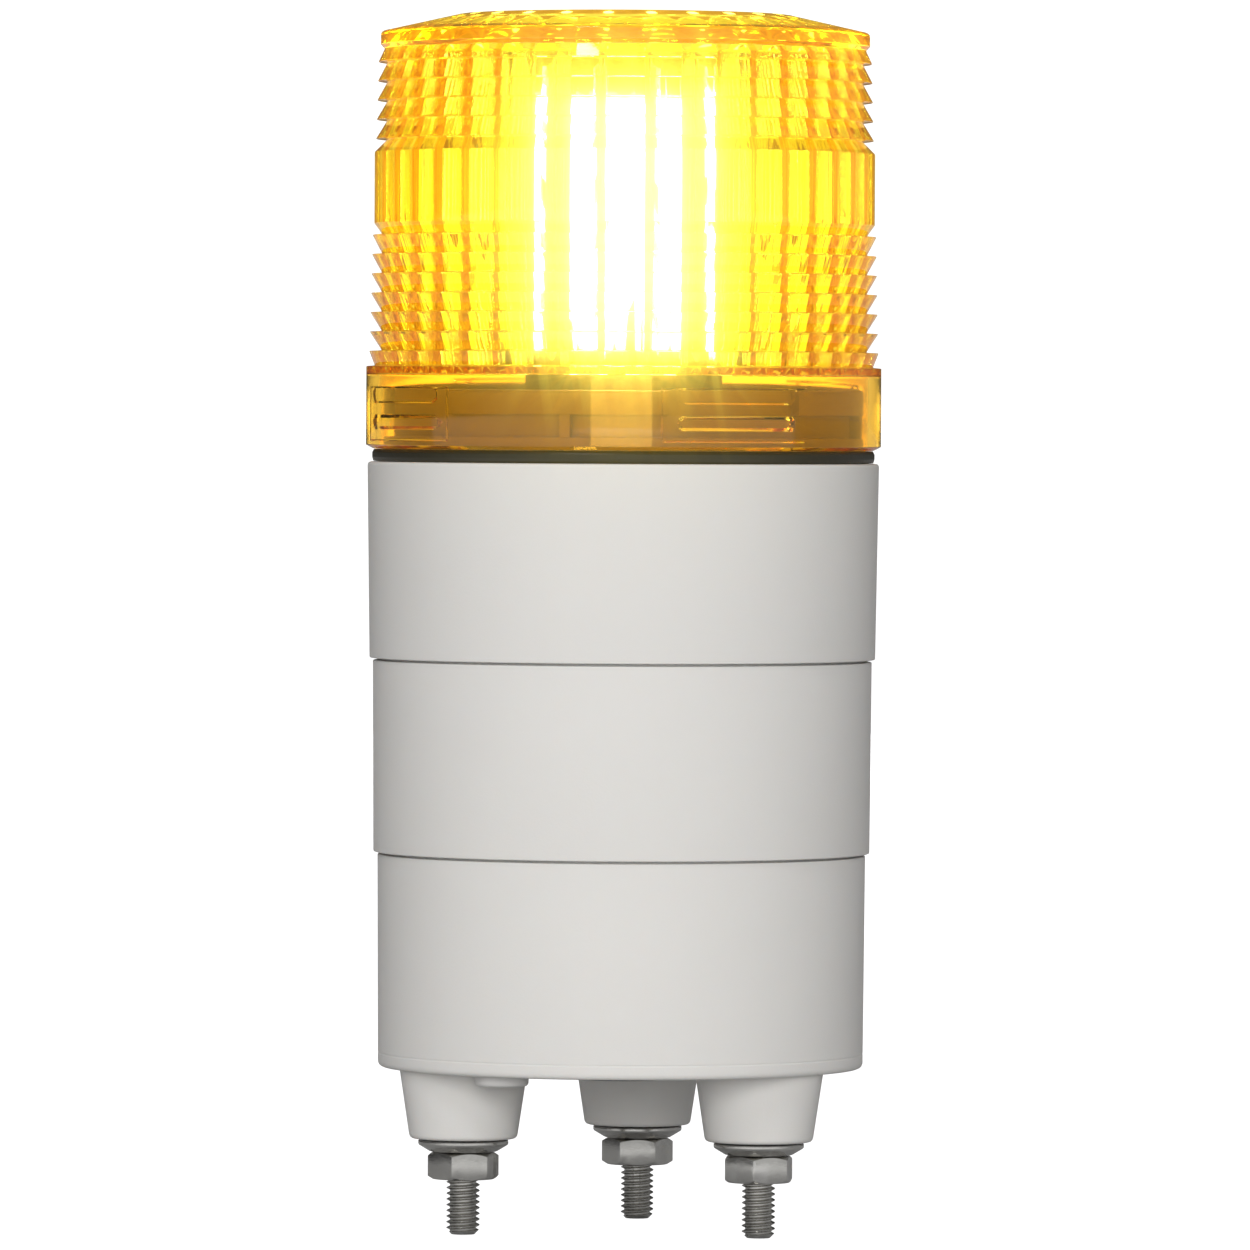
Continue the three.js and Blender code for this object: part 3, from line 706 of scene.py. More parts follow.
def add_glow(bench: Bench, shader: bpy.types.Node, colour: Colour, strength: Feed,
             band: tuple[float, float, float]) -> None:
    """Makes a shader glow between two heights.

    Args:
        bench: The material's node tree.
        shader: The shader that glows.
        colour: The light's colour.
        strength: Its strength.
        band: The low and high limits and the fade past them, in metres.
    """
    mask = bench.add("ShaderNodeGroup", node_tree=Groups.get(height_group))
    bench.feed(mask, dict(zip(("Low", "High", "Fade"), band)))
    light = bench.mix(mask.outputs["Mask"], (0, 0, 0, 1), (*colour, 1))
    bench.feed(shader, {"Emission Color": light, "Emission Strength": strength})


@dataclass(frozen=True)
class Lit(Finish):
    """A lit surface inside the light tube, an LED or a painted glow of the LEDs' light on a board or the
    socket: bright through the globe, and dimmer with the globe off.

    The camera is exposed for the lamp as the globe dims it, so with the globe off the lamp is shown as
    a camera stopped down for it would. Light that it casts on matt surfaces has the dim strength too.
    """

    glow: Colour = (1.0, 0.96, 0.86)
    strength: float = 10.0
    bare: float = 1.0              # the strength with the globe off
    band: tuple[float, float, float] = (-1.0, 1.0, 0.001)    # low, high and fade, in metres

    def build(self) -> bpy.types.Material:
        """Makes the material.

        Returns:
            The material, ready for use.
        """
        material = super().build()
        bench = Bench(material.node_tree)
        path = bench.add("ShaderNodeLightPath").outputs
        crossed = bench.math("MULTIPLY_ADD", path["Diffuse Depth"], -MANY_FACES, path["Transmission Depth"])
        level = bench.span(crossed, (TUBE_FACES, TUBE_FACES + GLOBE_FACES), (self.bare, self.strength))
        add_glow(bench, material.node_tree.nodes["Principled BSDF"], self.glow, level, self.band)
        return material


class Palette:
    """Every finish on the beacon, built once."""

    def __init__(self) -> None:
        """Builds the materials."""
        self.housing = Finish("HousingPlastic", (0.735, 0.72, 0.69), 0.52, grain=0.012, grain_scale=3800.0,
                              mottle=0.02, subsurface=0.15, specular=0.4).build()
        # The body and crown carry a painted glow for the lamp's light scattered in the amber; the collar has
        # none.
        amber = ClearPlastic("AmberLens", (0.77, 0.73, 0.15), tint=(0.964, 0.857, 0.0), density=280.0,
                             roughness=0.04, roughness_spread=0.03,
                             glow=(1.0, 0.36, 0.01), glow_strength=0.08)
        self.amber = {
            Zone.BODY: amber.build(),
            Zone.COLLAR: replace(amber, name="AmberCollar", wall=(0.9, 0.57, 0.12), glow=None).build(),
            Zone.CROWN: replace(amber, name="AmberCrown", glow=(1.0, 0.6, 0.02), glow_strength=0.1).build(),
            # painted highlights: the dimples glow strongly to stand in for the glints seen under the crown
            Zone.DIMPLE: replace(amber, name="AmberDimplePaintedGlints", glow=(1.0, 0.9, 0.45), glow_strength=8.0).build(),
        }
        self.clear = ClearPlastic("ClearTube", (1, 1, 1), roughness=0.05).build()
        # painted shade: the holder is the housing's plastic made darker for the shade it sits in under the
        # globe
        self.holder = Finish("HolderPlasticPaintedShade", (0.32, 0.29, 0.27), 0.5, grain=0.012, mottle=0.04).build()
        self.rubber = Finish("BlackRubber", (0.012, 0.012, 0.013), 0.36, grain_scale=1500.0).build()
        self.vent = Finish("VentPlastic", (0.66, 0.65, 0.63), 0.4, grain=0.01).build()
        self.steel = PlatedSteel("ZincPlate", (0.66, 0.65, 0.62), 0.2, metallic=1.0, grain=0.016,
                                 grain_scale=1200.0, mottle=0.2, mottle_scale=700.0).build()
        # painted glow: the socket is no lamp; its glow stands in for the LEDs' light falling on it
        self.socket = Lit("SocketPlasticPaintedGlow", (0.2, 0.18, 0.16), 0.5, glow=(1.0, 0.75, 0.3), strength=0.5,
                          bare=0.0, band=(0.0, 0.0672, 0.0006)).build()
        # painted glow: the boards are no lamps; a band of them glows with the LEDs' light spread over them
        self.board_white_painted_glow = Lit("WhiteBoardPaintedGlow", (0.35, 0.34, 0.3), 0.4, strength=42.0, bare=0.12,
                               band=(0.0746, 0.0845, 0.0025)).build()
        self.phosphor = Lit("Phosphor", (0.9, 0.6, 0.1), 0.4, strength=110.0, bare=1.7).build()
        self.mask_white = Finish("WhiteSolderMask", (0.75, 0.74, 0.7), 0.35).build()
        self.mask_green = Finish("GreenSolderMask", (0.02, 0.13, 0.05), 0.3, coat=0.3).build()
        self.ferrite = Finish("Ferrite", (0.045, 0.042, 0.04), 0.6).build()
        self.sleeve = Finish("CanSleeve", (0.02, 0.035, 0.07), 0.35).build()
        self.terminal = Finish("TerminalPlastic", (0.04, 0.25, 0.09), 0.45).build()
        self.wire_red = Finish("RedInsulation", (0.45, 0.03, 0.025), 0.4).build()
        self.wire_black = Finish("BlackInsulation", (0.016, 0.016, 0.017), 0.4).build()


# ---------------------------------------------------------------- housing


@dataclass
class Housing:
    """The three stacked casings, with the foot bosses, the vent plug and the cable grommet."""

    facets: int = 256
    wall: float = 1.8
    seam: float = 0.2
    gap: float = 0.05              # between faces that lie on each other
    floor_bottom: float = 6.0
    floor_top: float = 8.0
    edge_round: float = 1.0
    parting: tuple[Point, ...] = ((1.15, 0.0), (1.2, 0.025), (1.3, 0.025), (1.35, 0.0))    # rise and depth
    spigot_share: float = 0.6      # how much of the wall the step to the spigot takes
    spigot_wall: float = 1.0
    spigot_gap: float = 0.1
    lower_radii: Point = (21.35, 21.47)
    middle_radii: Point = (21.84, 21.95)
    upper_radii: Point = (22.25, 22.5)
    upper_bore: float = 20.4
    boss_low: float = 4.7
    boss_high: float = 5.6
    boss_round: float = 0.5
    boss_bore: float = 1.7
    boss_root: float = 0.8         # how far a boss reaches into the floor
    screw_angles: tuple[int, ...] = (30, 150, 270)
    post_circle: float = 16.0
    post_radius: float = 2.4
    post_span: Point = (7.5, 14.0)
    tall_circle: float = 17.6
    tall_radius: float = 3.2
    tall_span: Point = (46.0, 57.95)
    tall_trim: Point = (45.0, 58.5)
    screw_circle: float = 16.2
    screw_bore: float = 1.4
    screw_span: Point = (48.0, 60.0)
    vent_hole: float = 1.8
    vent_stem: float = 1.55
    vent_mouth: float = 0.7
    vent_dip: float = 0.25
    grommet_hole: float = 4.3
    grommet_bore: float = 3.05
    grommet_flange: float = 5.4

    def build(self, palette: Palette) -> None:
        """Builds and dresses every piece of the housing.

        Args:
            palette: The finishes.
        """
        place(self.lower(), "housing", palette.housing, ["case_lower"])
        place(self.middle(), "housing", palette.housing, ["case_middle"])
        place(self.upper(), "housing", palette.housing, ["case_upper"])
        place(self.vent(), "housing", palette.vent, ["vent_plug"])
        place(self.grommet(), "housing", palette.rubber, ["cable_grommet"])

    def spigot(self, above: Point) -> float:
        """Gives the radius of the spigot under a casing of the given radii."""
        return above[0] - self.wall * self.spigot_share

    def step(self, node: str, above: str, outer: float, radii: Point) -> list[Corner]:
        """Lists the corners of a casing's top, from its outside to its bore.

        Args:
            node: The casing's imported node.
            above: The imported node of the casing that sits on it.
            outer: Its radius there.
            radii: The radii of the casing that sits on it.

        Returns:
            The corners of its shoulder and its spigot.
        """
        shoulder = heights(above)[0] - self.seam
        rim = heights(node)[1]
        spigot = self.spigot(radii)
        return [
            Corner(outer, shoulder, 0.12),
            Corner(spigot, shoulder),
            Corner(spigot, rim, 0.2),
            Corner(spigot - self.spigot_wall, rim, 0.2),
        ]

    def lower(self) -> bpy.types.Object:
        """Makes the lower casing: cup, foot bosses, board posts and their holes.

        Returns:
            The casing.
        """
        low, high = self.lower_radii
        corners = [Corner(0, self.floor_bottom), Corner(low, self.floor_bottom, self.edge_round)]
        corners += [Corner(low - depth, self.floor_bottom + rise, 0.02) for rise, depth in self.parting]
        corners += self.step("case_lower", "case_middle", high, self.middle_radii)
        corners += [Corner(corners[-1].r, self.floor_top, 0.6), Corner(0, self.floor_top)]
        casing = turned("CasingLower", corners, self.facets)
        studs = [middle(f"stud_{k}") for k in (1, 2, 3)]
        root = self.floor_bottom + self.boss_root
        bosses = [turned("boss", [
            Corner(0, 0),
            Corner(self.boss_low, 0, self.boss_round),
            Corner(self.boss_high, self.floor_bottom),
            Corner(self.boss_high, root),
            Corner(0, root),
        ], 96, spot) for spot in studs]
        posts = rods("post", self.post_radius, self.post_span, 48, self.post_circle, self.screw_angles,
                     (0, 0.2))
        cut(casing, bosses + posts, Cut.ADD)
        through = (self.floor_bottom - 1, self.floor_top + 1)
        bores = [rod("bore", self.boss_bore, (-1, through[1]), 48, spot) for spot in studs]
        bores.append(rod("bore", self.vent_hole, through, 48, middle("vent_plug")))
        bores.append(rod("bore", self.grommet_hole, through, 48))
        return cut(casing, bores, Cut.REMOVE)

    def middle(self) -> bpy.types.Object:
        """Makes the middle casing.

        Returns:
            The casing.
        """
        bottom = heights("case_middle")[0]
        ledge = heights("case_lower")[1] + self.gap
        socket = self.spigot(self.middle_radii) + self.spigot_gap
        low, high = self.middle_radii
        step = self.step("case_middle", "case_upper", high, self.upper_radii)
        return turned("CasingMiddle", [
            Corner(socket, bottom),
            Corner(low, bottom, 0.15),
            *step,
            Corner(step[-1].r, ledge, 0.2),
            Corner(socket, ledge),
        ], self.facets)

    def upper(self) -> bpy.types.Object:
        """Makes the upper casing, with the posts that the lamp holder is screwed to.

        Returns:
            The casing.
        """
        bottom, rim = heights("case_upper")
        ledge = heights("case_middle")[1] + self.gap
        socket = self.spigot(self.upper_radii) + self.spigot_gap
        low, high = self.upper_radii
        casing = turned("CasingUpper", [
            Corner(socket, bottom),
            Corner(low, bottom, 0.15),
            Corner(high, rim, 0.35),
            Corner(self.upper_bore, rim, 0.15),
            Corner(self.upper_bore, ledge, 0.2),
            Corner(socket, ledge),
        ], self.facets)
        posts = rods("post", self.tall_radius, self.tall_span, 48, self.tall_circle, self.screw_angles,
                     (0.4, 0.2))
        for post in posts:
            cut(post, [rod("trim", self.upper_bore + 0.3, self.tall_trim, self.facets)], Cut.KEEP)
        cut(casing, posts, Cut.ADD)
        bores = rods("bore", self.screw_bore, self.screw_span, 32, self.screw_circle, self.screw_angles)
        return cut(casing, bores, Cut.REMOVE)

    def vent(self) -> bpy.types.Object:
        """Makes the breather plug in the floor.

        Returns:
            The plug.
        """
        face, top = heights("vent_plug")
        radius = half_width("vent_plug")
        flange = self.floor_bottom - self.gap
        return turned("VentPlug", [
            Corner(0, face + self.vent_dip),
            Corner(self.vent_mouth, face + self.vent_dip, 0.1),
            Corner(self.vent_mouth + 0.1, face, 0.1),
            Corner(radius, face, 0.55),
            Corner(radius, flange),
            Corner(self.vent_stem, flange),
            Corner(self.vent_stem, top, 0.3),
            Corner(0, top),
        ], 64, middle("vent_plug"))

    def grommet(self) -> bpy.types.Object:
        """Makes the rubber cable grommet.

        Returns:
            The grommet.
        """
        low, high = heights("cable_grommet")
        waist = self.grommet_hole - 0.1
        below, above = self.floor_bottom - self.gap, self.floor_top + self.gap
        return turned("CableGrommet", [
            Corner(self.grommet_bore, low, 0.3),
            Corner(self.grommet_flange - 0.05, low, 0.45),
            Corner(self.grommet_flange, below, 0.1),
            Corner(waist, below),
            Corner(waist, above),
            Corner(self.grommet_flange, above, 0.1),
            Corner(self.grommet_flange - 0.2, high, 0.4),
            Corner(self.grommet_bore, high, 0.3),
        ], 96)


# ---------------------------------------------------------------- studs, washers and nuts


@dataclass
class StudSet:
    """The three threaded studs, with a dished washer and a hexagon nut on each."""

    pitch: float = 0.5
    crest: float = 1.46
    root: float = 1.15
    root_share: float = 0.25       # of the pitch
    flank_share: float = 0.3
    thread_top: float = 1.0
    chamfer: float = 0.45
    around: int = 48
    per_pitch: int = 12
    across_flats: float = 5.5
    head_height: float = 2.0
    overlap: float = 0.2           # of the shank and the head
    shank_overlap: float = 0.4     # of the thread and the shank
    washer_bore: float = 1.65
    washer_edge: float = 0.6
    nut_bore: float = 1.56
    nut_bore_flare: float = 0.8
    nut_chamfer: Point = (0.6, 0.36)
    nut_yaws: tuple[float, ...] = (-11.65, -2.8, 36.5)
    stud_angles: tuple[int, ...] = (-150, -30, 90)

    def build(self, palette: Palette) -> None:
        """Builds and dresses the fastening on each boss.

        Args:
            palette: The finishes.
        """
        for k in (1, 2, 3):
            place(self.stud(k), "housing", palette.steel, [f"stud_{k}"])
            place(self.washer(k), f"washer_{k}", palette.steel, [f"washer_{k}"])
            place(self.nut(k), f"nut_{k}", palette.steel, [f"nut_{k}"])

    def thread_radius(self, phase: float) -> float:
        """Gives the thread's radius at a share of the pitch, in millimetres: root, flank, crest, flank."""
        climb = (phase - self.root_share) / self.flank_share
        fall = (1 - phase) / self.flank_share
        return self.root + (self.crest - self.root) * max(0.0, min(1.0, climb, fall))

    def thread(self, name: str, tip: float) -> bpy.types.Object:
        """Makes the threaded rod as one helical surface, closed at both ends.

        Args:
            name: The object's name.
            tip: Height of the rod's tip, in millimetres.

        Returns:
            The rod.
        """
        rise = self.pitch / self.per_pitch
        rows = int((self.thread_top - tip) / rise) + self.per_pitch
        start = tip - self.pitch
        vertices, faces = [], []
        for i in range(rows + 1):
            for k in range(self.around):
                height = start + rise * i + self.pitch * k / self.around
                radius = self.thread_radius((i % self.per_pitch) / self.per_pitch)
                radius = min(radius, self.crest - self.chamfer + max(0.0, height - tip))
                radius = min(radius, self.crest - self.chamfer + max(0.0, self.thread_top - height))
                height = min(max(height, tip), self.thread_top)
                angle = math.tau * k / self.around
                vertices.append((radius * math.cos(angle) * MM, radius * math.sin(angle) * MM, height * MM))
        for i in range(rows):
            row, above = i * self.around, (i + 1) * self.around
            for k in range(self.around - 1):
                faces.append([row + k, row + k + 1, above + k + 1, above + k])
            turn = self.per_pitch * self.around
            if above + turn <= rows * self.around:
                faces.append([above - 1, row + turn, above + turn, above + self.around - 1])
        bolt = add_mesh(name, vertices, faces)
        work = bmesh.new()
        work.from_mesh(bolt.data)
        bmesh.ops.remove_doubles(work, verts=work.verts, dist=1e-6)
        bmesh.ops.holes_fill(work, edges=[e for e in work.edges if e.is_boundary], sides=0)
        work.to_mesh(bolt.data)
        work.free()
        return bolt

    def hexagon(self, name: str, low: float, high: float, yaw: float) -> bpy.types.Object:
        """Makes a hexagonal bar on Z.

        Args:
            name: The object's name.
            low: Foot, in millimetres.
            high: Top, in millimetres.
            yaw: Turn of its flats, in degrees.

        Returns:
            The bar.
        """
        corner = self.across_flats / math.sqrt(3) * MM
        shape = [polar(corner, 60 * i + 30 + yaw) for i in range(6)]
        return prism(name, shape, low * MM, high * MM)

    def stud(self, k: int) -> bpy.types.Object:
        """Makes a stud: its thread below, its plain shank and its head inside the housing.

        Args:
            k: Which stud, from 1.

        Returns:
            The stud.
        """
        tip, top = heights(f"stud_{k}")
        bolt = self.thread(f"Stud{k}", tip)
        head_low = top - self.head_height
        head = self.hexagon("head", head_low, top, self.stud_angles[k - 1])
        low, high = self.thread_top - self.shank_overlap, head_low + self.overlap
        shank = turned("shank", [
            Corner(0, low), Corner(self.crest, low, 0.05), Corner(self.crest, high), Corner(0, high),
        ], self.around)
        cut(bolt, [shank, head], Cut.ADD)
        bolt.data.transform(Matrix.Translation((*middle(f"stud_{k}"), 0)))
        return bolt

    def washer(self, k: int) -> bpy.types.Object:
        """Makes a dished washer.

        Args:
            k: Which washer, from 1.

        Returns:
            The washer.
        """
        bottom, top = heights(f"washer_{k}")
        radius = half_width(f"washer_{k}")
        return turned(f"Washer{k}", [
            Corner(self.washer_bore, bottom, 0.1),
            Corner(radius - 1.0, bottom, 0.3),
            Corner(radius, bottom + self.washer_edge, 0.22),
            Corner(radius, top, 0.15),
            Corner(radius - 0.9, top - 0.05, 0.2),
            Corner(self.washer_bore, top - 0.3, 0.1),
        ], 96, middle(f"washer_{k}"))

    def nut(self, k: int) -> bpy.types.Object:
        """Makes a hexagon nut, chamfered at both ends.

        Args:
            k: Which nut, from 1.

        Returns:
            The nut.
        """
        bottom, top = heights(f"nut_{k}")
        widest = self.across_flats / math.sqrt(3) + 0.1
        nut = self.hexagon(f"Nut{k}", bottom, top, self.nut_yaws[k - 1])
        inward, deep = self.nut_chamfer
        trim = turned("trim", [
            Corner(0, bottom),
            Corner(widest - inward, bottom, 0.15),
            Corner(widest, bottom + deep, 0.3),
            Corner(widest, top - deep, 0.3),
            Corner(widest - inward, top, 0.15),
            Corner(0, top),
        ], 144)
        cut(nut, [trim], Cut.KEEP)
        flared = self.nut_bore + self.nut_bore_flare
        bore = turned("bore", [
            Corner(0, bottom - 0.5),
            Corner(flared, bottom - 0.5),
            Corner(self.nut_bore, bottom + 0.3),
            Corner(self.nut_bore, top - 0.3),
            Corner(flared, top + 0.5),
            Corner(0, top + 0.5),
        ], 64)
        cut(nut, [bore], Cut.REMOVE)
        soften(nut, 0.07)
        nut.data.transform(Matrix.Translation((*middle(f"nut_{k}"), 0)))
        return nut


# ---------------------------------------------------------------- lamp holder, seal and globe


@dataclass
class LampHolder:
    """The neck with the bayonet groove, and the seal ring round its foot."""

    collar: float = 21.1
    groove: float = 20.2
    bore: float = 18.6
    spigot: float = 19.9
    wire_hole: float = 3.2
    floor_top: float = 60.0
    groove_bottom: float = 61.5
    groove_top: float = 63.4
    slot_phase: float = -56.5
    slot_half: float = 17.0
    lock_angle: float = 22.0
    stop_width: float = 2.5
    screw_circle: float = 16.2
    screw_bore: float = 1.4
    screw_angles: tuple[int, ...] = (30, 150, 270)
    seal_bore: float = 21.3
    gap: float = 0.05
    slice_step: float = 1.5        # degrees to each facet of a slice

    def build(self, palette: Palette) -> None:
        """Builds the holder and the seal, and dresses them with the given finishes."""
        place(self.holder(), "housing", palette.holder, ["lamp_holder"])
        place(self.seal(), "seal", palette.rubber, ["seal_ring"])

    def sector(self, inner: float, outer: float, low: float, high: float, start: float, end: float
               ) -> bpy.types.Object:
        """Makes a slice of a ring.

        Args:
            inner: Inner radius, in millimetres.
            outer: Outer radius, in millimetres.
            low: Foot, in millimetres.
            high: Top, in millimetres.
            start: First angle, in degrees.
            end: Last angle, in degrees.

        Returns:
            The slice.
        """
        steps = max(2, int((end - start) / self.slice_step))
        angles = [start + (end - start) * i / steps for i in range(steps + 1)]
        shape = [polar(outer * MM, a) for a in angles] + [polar(inner * MM, a) for a in reversed(angles)]
        return prism("sector", shape, low * MM, high * MM)

    def holder(self) -> bpy.types.Object:
        """Makes the lamp holder.

        Returns:
            The holder.
        """
        low, high = heights("lamp_holder")
        seat = heights("case_upper")[1] + self.gap
        ring = turned("LampHolder", [
            Corner(self.wire_hole, low, 0.2), Corner(self.spigot, low, 0.3), Corner(self.spigot, seat),
            Corner(self.collar, seat), Corner(self.collar, self.groove_bottom, 0.12),
            Corner(self.groove, self.groove_bottom, 0.2), Corner(self.groove, self.groove_top, 0.2),
            Corner(self.collar, self.groove_top, 0.12), Corner(self.collar, high, 0.35),
            Corner(self.bore, high, 0.3), Corner(self.bore, self.floor_top, 0.4),
            Corner(self.wire_hole, self.floor_top, 0.2),
        ], 240)
        slots, stops = [], []
        for i in range(4):
            centre = self.slot_phase + 90 * i
            edge = centre - self.lock_angle - self.slot_half - 1
            slots.append(self.sector(self.groove, self.collar + 1, self.groove_top - 0.2, high + 1,
                                     centre - self.slot_half, centre + self.slot_half))
            stops.append(self.sector(self.groove - 0.2, self.collar - self.gap, self.groove_bottom - 0.2,
                                     self.groove_top + 0.2, edge - self.stop_width, edge))
        cut(ring, slots, Cut.REMOVE)
        cut(ring, stops, Cut.ADD)
        through = (low - 1, self.floor_top + 1)
        holes = rods("hole", self.screw_bore, through, 32, self.screw_circle, self.screw_angles)
        return cut(ring, holes, Cut.REMOVE)

    def seal(self) -> bpy.types.Object:
        """Makes the seal: a black ring with a proud lip.

        Returns:
            The ring.
        """
        outer = half_width("seal_ring")
        bottom, top = heights("seal_ring")
        return turned("SealRing", [
            Corner(self.seal_bore, bottom, 0.1),
            Corner(outer - 0.1, bottom, 0.1),
            Corner(outer, bottom + 0.35, 0.15),
            Corner(outer, top - 0.3, 0.15),
            Corner(outer - 0.15, top, 0.1),
            Corner(self.seal_bore, top, 0.1),
        ], 256)


@dataclass
class Globe:
    """The amber globe: rings outside, flutes inside, bayonet lugs in its collar."""

    segments: int = 600
    collar: float = 22.65
    collar_top: float = 67.57
    socket: float = 21.5
    socket_top: float = 66.9
    chamfer: Point = (0.6, 0.31)
    inner: float = 19.55
    throat_top: float = 67.6
    flute_count: int = 40
    flute_depth: float = 0.45
    flute_phase: float = -133.4
    lower_first: float = 68.91
    lower_pitch: float = 1.7
    lower_count: int = 7
    lower_tips: Point = (22.4, 22.15)
    lower_notch: float = 21.3
    upper_first: float = 87.53
    upper_pitch: float = 1.69
    upper_count: int = 5
    upper_tips: Point = (21.9, 21.7)
    upper_notch: float = 20.9
    band: Point = (80.14, 86.38)
    band_radius: float = 22.0
    rim_radius: float = 21.5
    rim: Point = (95.7, 96.97)
    crown: float = 14.5
    ceiling: float = 96.85
    dimple_count: int = 24
    dimple_circle: float = 14.0
    dimple_radius: float = 0.45
    dimple_rise: float = 0.45
    dimple_rows: tuple[float, float, int] = (13.0, 0.15, 14)    # first radius, step and count
    lug_phase: float = -56.5
    lug_half: float = 15.0
    pad_half: float = 18.5
    pad_rise: float = 0.15
    lug_rises: tuple[float, ...] = (0.9, 0.3)
    lug_spans: tuple[Point, ...] = ((62.1, 63.3), (64.4, 65.8))
    lug_limit: float = 65.7        # the lugs and pads end under this height
    lug_rows: int = 44
    pad_span: Point = (61.2, 66.5)

    def build(self, palette: Palette) -> None:
        """Builds and dresses the globe.

        Args:
            palette: The finishes.
        """
        shell = self.shell()
        zones = list(Zone)
        for zone in zones:
            shell.data.materials.append(palette.amber[zone])
        for face in shell.data.polygons:
            face.material_index = zones.index(self.zone(face.center))
        place(shell, "globe", None, ["globe"])

    def zone(self, point: Vector) -> Zone:
        """Tells which finish a face of the shell takes.

        Args:
            point: The face's middle, in metres.

        Returns:
            The zone that it is in.
        """
        height = point.z / MM
        off = abs(point.xy.length / MM - self.dimple_circle)
        rise = height - self.ceiling
        if off < self.dimple_radius and 0.05 < rise < self.dimple_rise + 0.1:
            return Zone.DIMPLE
        if height > self.rim[0]:
            return Zone.CROWN
        return Zone.COLLAR if height < self.collar_top else Zone.BODY

    def teeth(self) -> tuple[list[Corner], list[Corner]]:
        """Lists the corners of the rings below and above the band.

        Returns:
            The lower rings, whose ledges face up, and the upper rings, whose ledges face down.
        """
        lower, upper = [], []
        for i in range(self.lower_count):
            share = i / (self.lower_count - 1)
            tip = self.lower_tips[0] + (self.lower_tips[1] - self.lower_tips[0]) * share
            height = self.lower_first + self.lower_pitch * i
            lower += [Corner(tip, height, 0.05), Corner(self.lower_notch, height + 0.05, 0.07)]
        for i in range(self.upper_count):
            share = i / (self.upper_count - 1)
            tip = self.upper_tips[0] + (self.upper_tips[1] - self.upper_tips[0]) * share
            height = self.upper_first + self.upper_pitch * i
            upper += [Corner(self.upper_notch, height - 0.05, 0.07), Corner(tip, height, 0.05)]
        return lower, upper

    def shape(self, angle: float, radius: float, height: float) -> Point:
        """Moves a point of the turned shell to make the flutes, the dimples and the lugs.

        Args:
            angle: Round the axis, in radians.
            radius: In metres.
            height: In metres.

        Returns:
            The changed radius and height, in metres.
        """
        r, z = radius / MM, height / MM
        degrees = math.degrees(angle)
        if r < self.inner + 0.01 and self.throat_top + 0.3 < z < self.ceiling - 1.0:
            step = 360 / self.flute_count
            across = ((degrees - self.flute_phase) / step) % 1 * 2 - 1
            r += self.flute_depth * (across * across)
        elif r < self.socket + 0.01 and z < self.lug_limit:
            r -= self.lug_rise(degrees, z)
        elif z > self.rim[0] and abs(r - self.dimple_circle) < 2 and z < self.ceiling + 0.1:
            step = 360 / self.dimple_count
            offset = math.radians((degrees + step / 2) % step - step / 2) * self.dimple_circle
            far = math.hypot(offset, r - self.dimple_circle) / self.dimple_radius
            z += self.dimple_rise * math.sqrt(max(0.0, 1 - far * far))
        return r * MM, z * MM

    def lug_rise(self, degrees: float, z: float) -> float:
        """Gives how far the collar's inside stands in towards the axis, in millimetres.

        Args:
            degrees: Angle round the axis.
            z: Height in millimetres.

        Returns:
            The rise of the pad or the lug there.
        """
        off = abs((degrees - self.lug_phase + 45) % 90 - 45)
        rise = 0.0
        if off < self.pad_half and self.pad_span[0] < z < self.pad_span[1]:
            rise = self.pad_rise
        arc = math.radians(off) * self.socket
        half = math.radians(self.lug_half) * self.socket
        for (low, high), height in zip(self.lug_spans, self.lug_rises):
            corner = (high - low) / 2
            run = max(0.0, arc - (half - corner))
            lift = abs(z - (low + high) / 2)
            inside = corner - math.hypot(run, lift)
            if inside > 0:
                rise = max(rise, min(height, self.pad_rise + inside * 4))
        return rise

    def shell(self) -> bpy.types.Object:
        """Makes the globe as one closed wall.

        Returns:
            The globe.
        """
        bottom, top = heights("globe")
        lower, upper = self.teeth()
        first, step, rows = self.dimple_rows
        flat_top = self.socket_top - 0.3
        drop = (flat_top - bottom) / self.lug_rows
        inside = [
            Corner(0, self.ceiling),
            Corner(first - 0.2, self.ceiling),
            *[Corner(first + step * i, self.ceiling) for i in range(rows)],
            Corner(self.inner - 0.95, self.ceiling - 1.25, 0.5),
            Corner(self.inner, self.ceiling - 2.25, 0.4),
            Corner(self.inner, self.ceiling - 2.85),
            Corner(self.inner, self.throat_top + 0.4),
            Corner(self.inner, self.throat_top, 0.3),
            Corner(self.socket, self.socket_top, 0.2),
            *[Corner(self.socket, flat_top - drop * i) for i in range(self.lug_rows)],
            Corner(self.socket, bottom, 0.08),
        ]
        outside = [
            Corner(self.collar - self.chamfer[0], bottom, 0.05),
            Corner(self.collar, bottom + self.chamfer[1], 0.08),
            Corner(self.collar, self.collar_top, 0.08),
            Corner(self.lower_notch + 0.6, self.collar_top + 0.06, 0.07),
            *lower,
            Corner(self.band_radius, self.band[0], 0.1),
            Corner(self.band_radius, self.band[1], 0.1),
            *upper,
            Corner(self.rim_radius - 0.35, self.rim[0] - 0.23, 0.1),
            Corner(self.rim_radius, self.rim[0] + 0.15, 0.15),
            Corner(self.rim_radius, self.rim[1], 0.4),
            Corner(self.crown, top - 0.1, 2.5),
            Corner(0, top),
        ]
        return revolve("Globe", outline(inside + outside, False), self.segments, self.shape)


# ---------------------------------------------------------------- light tower


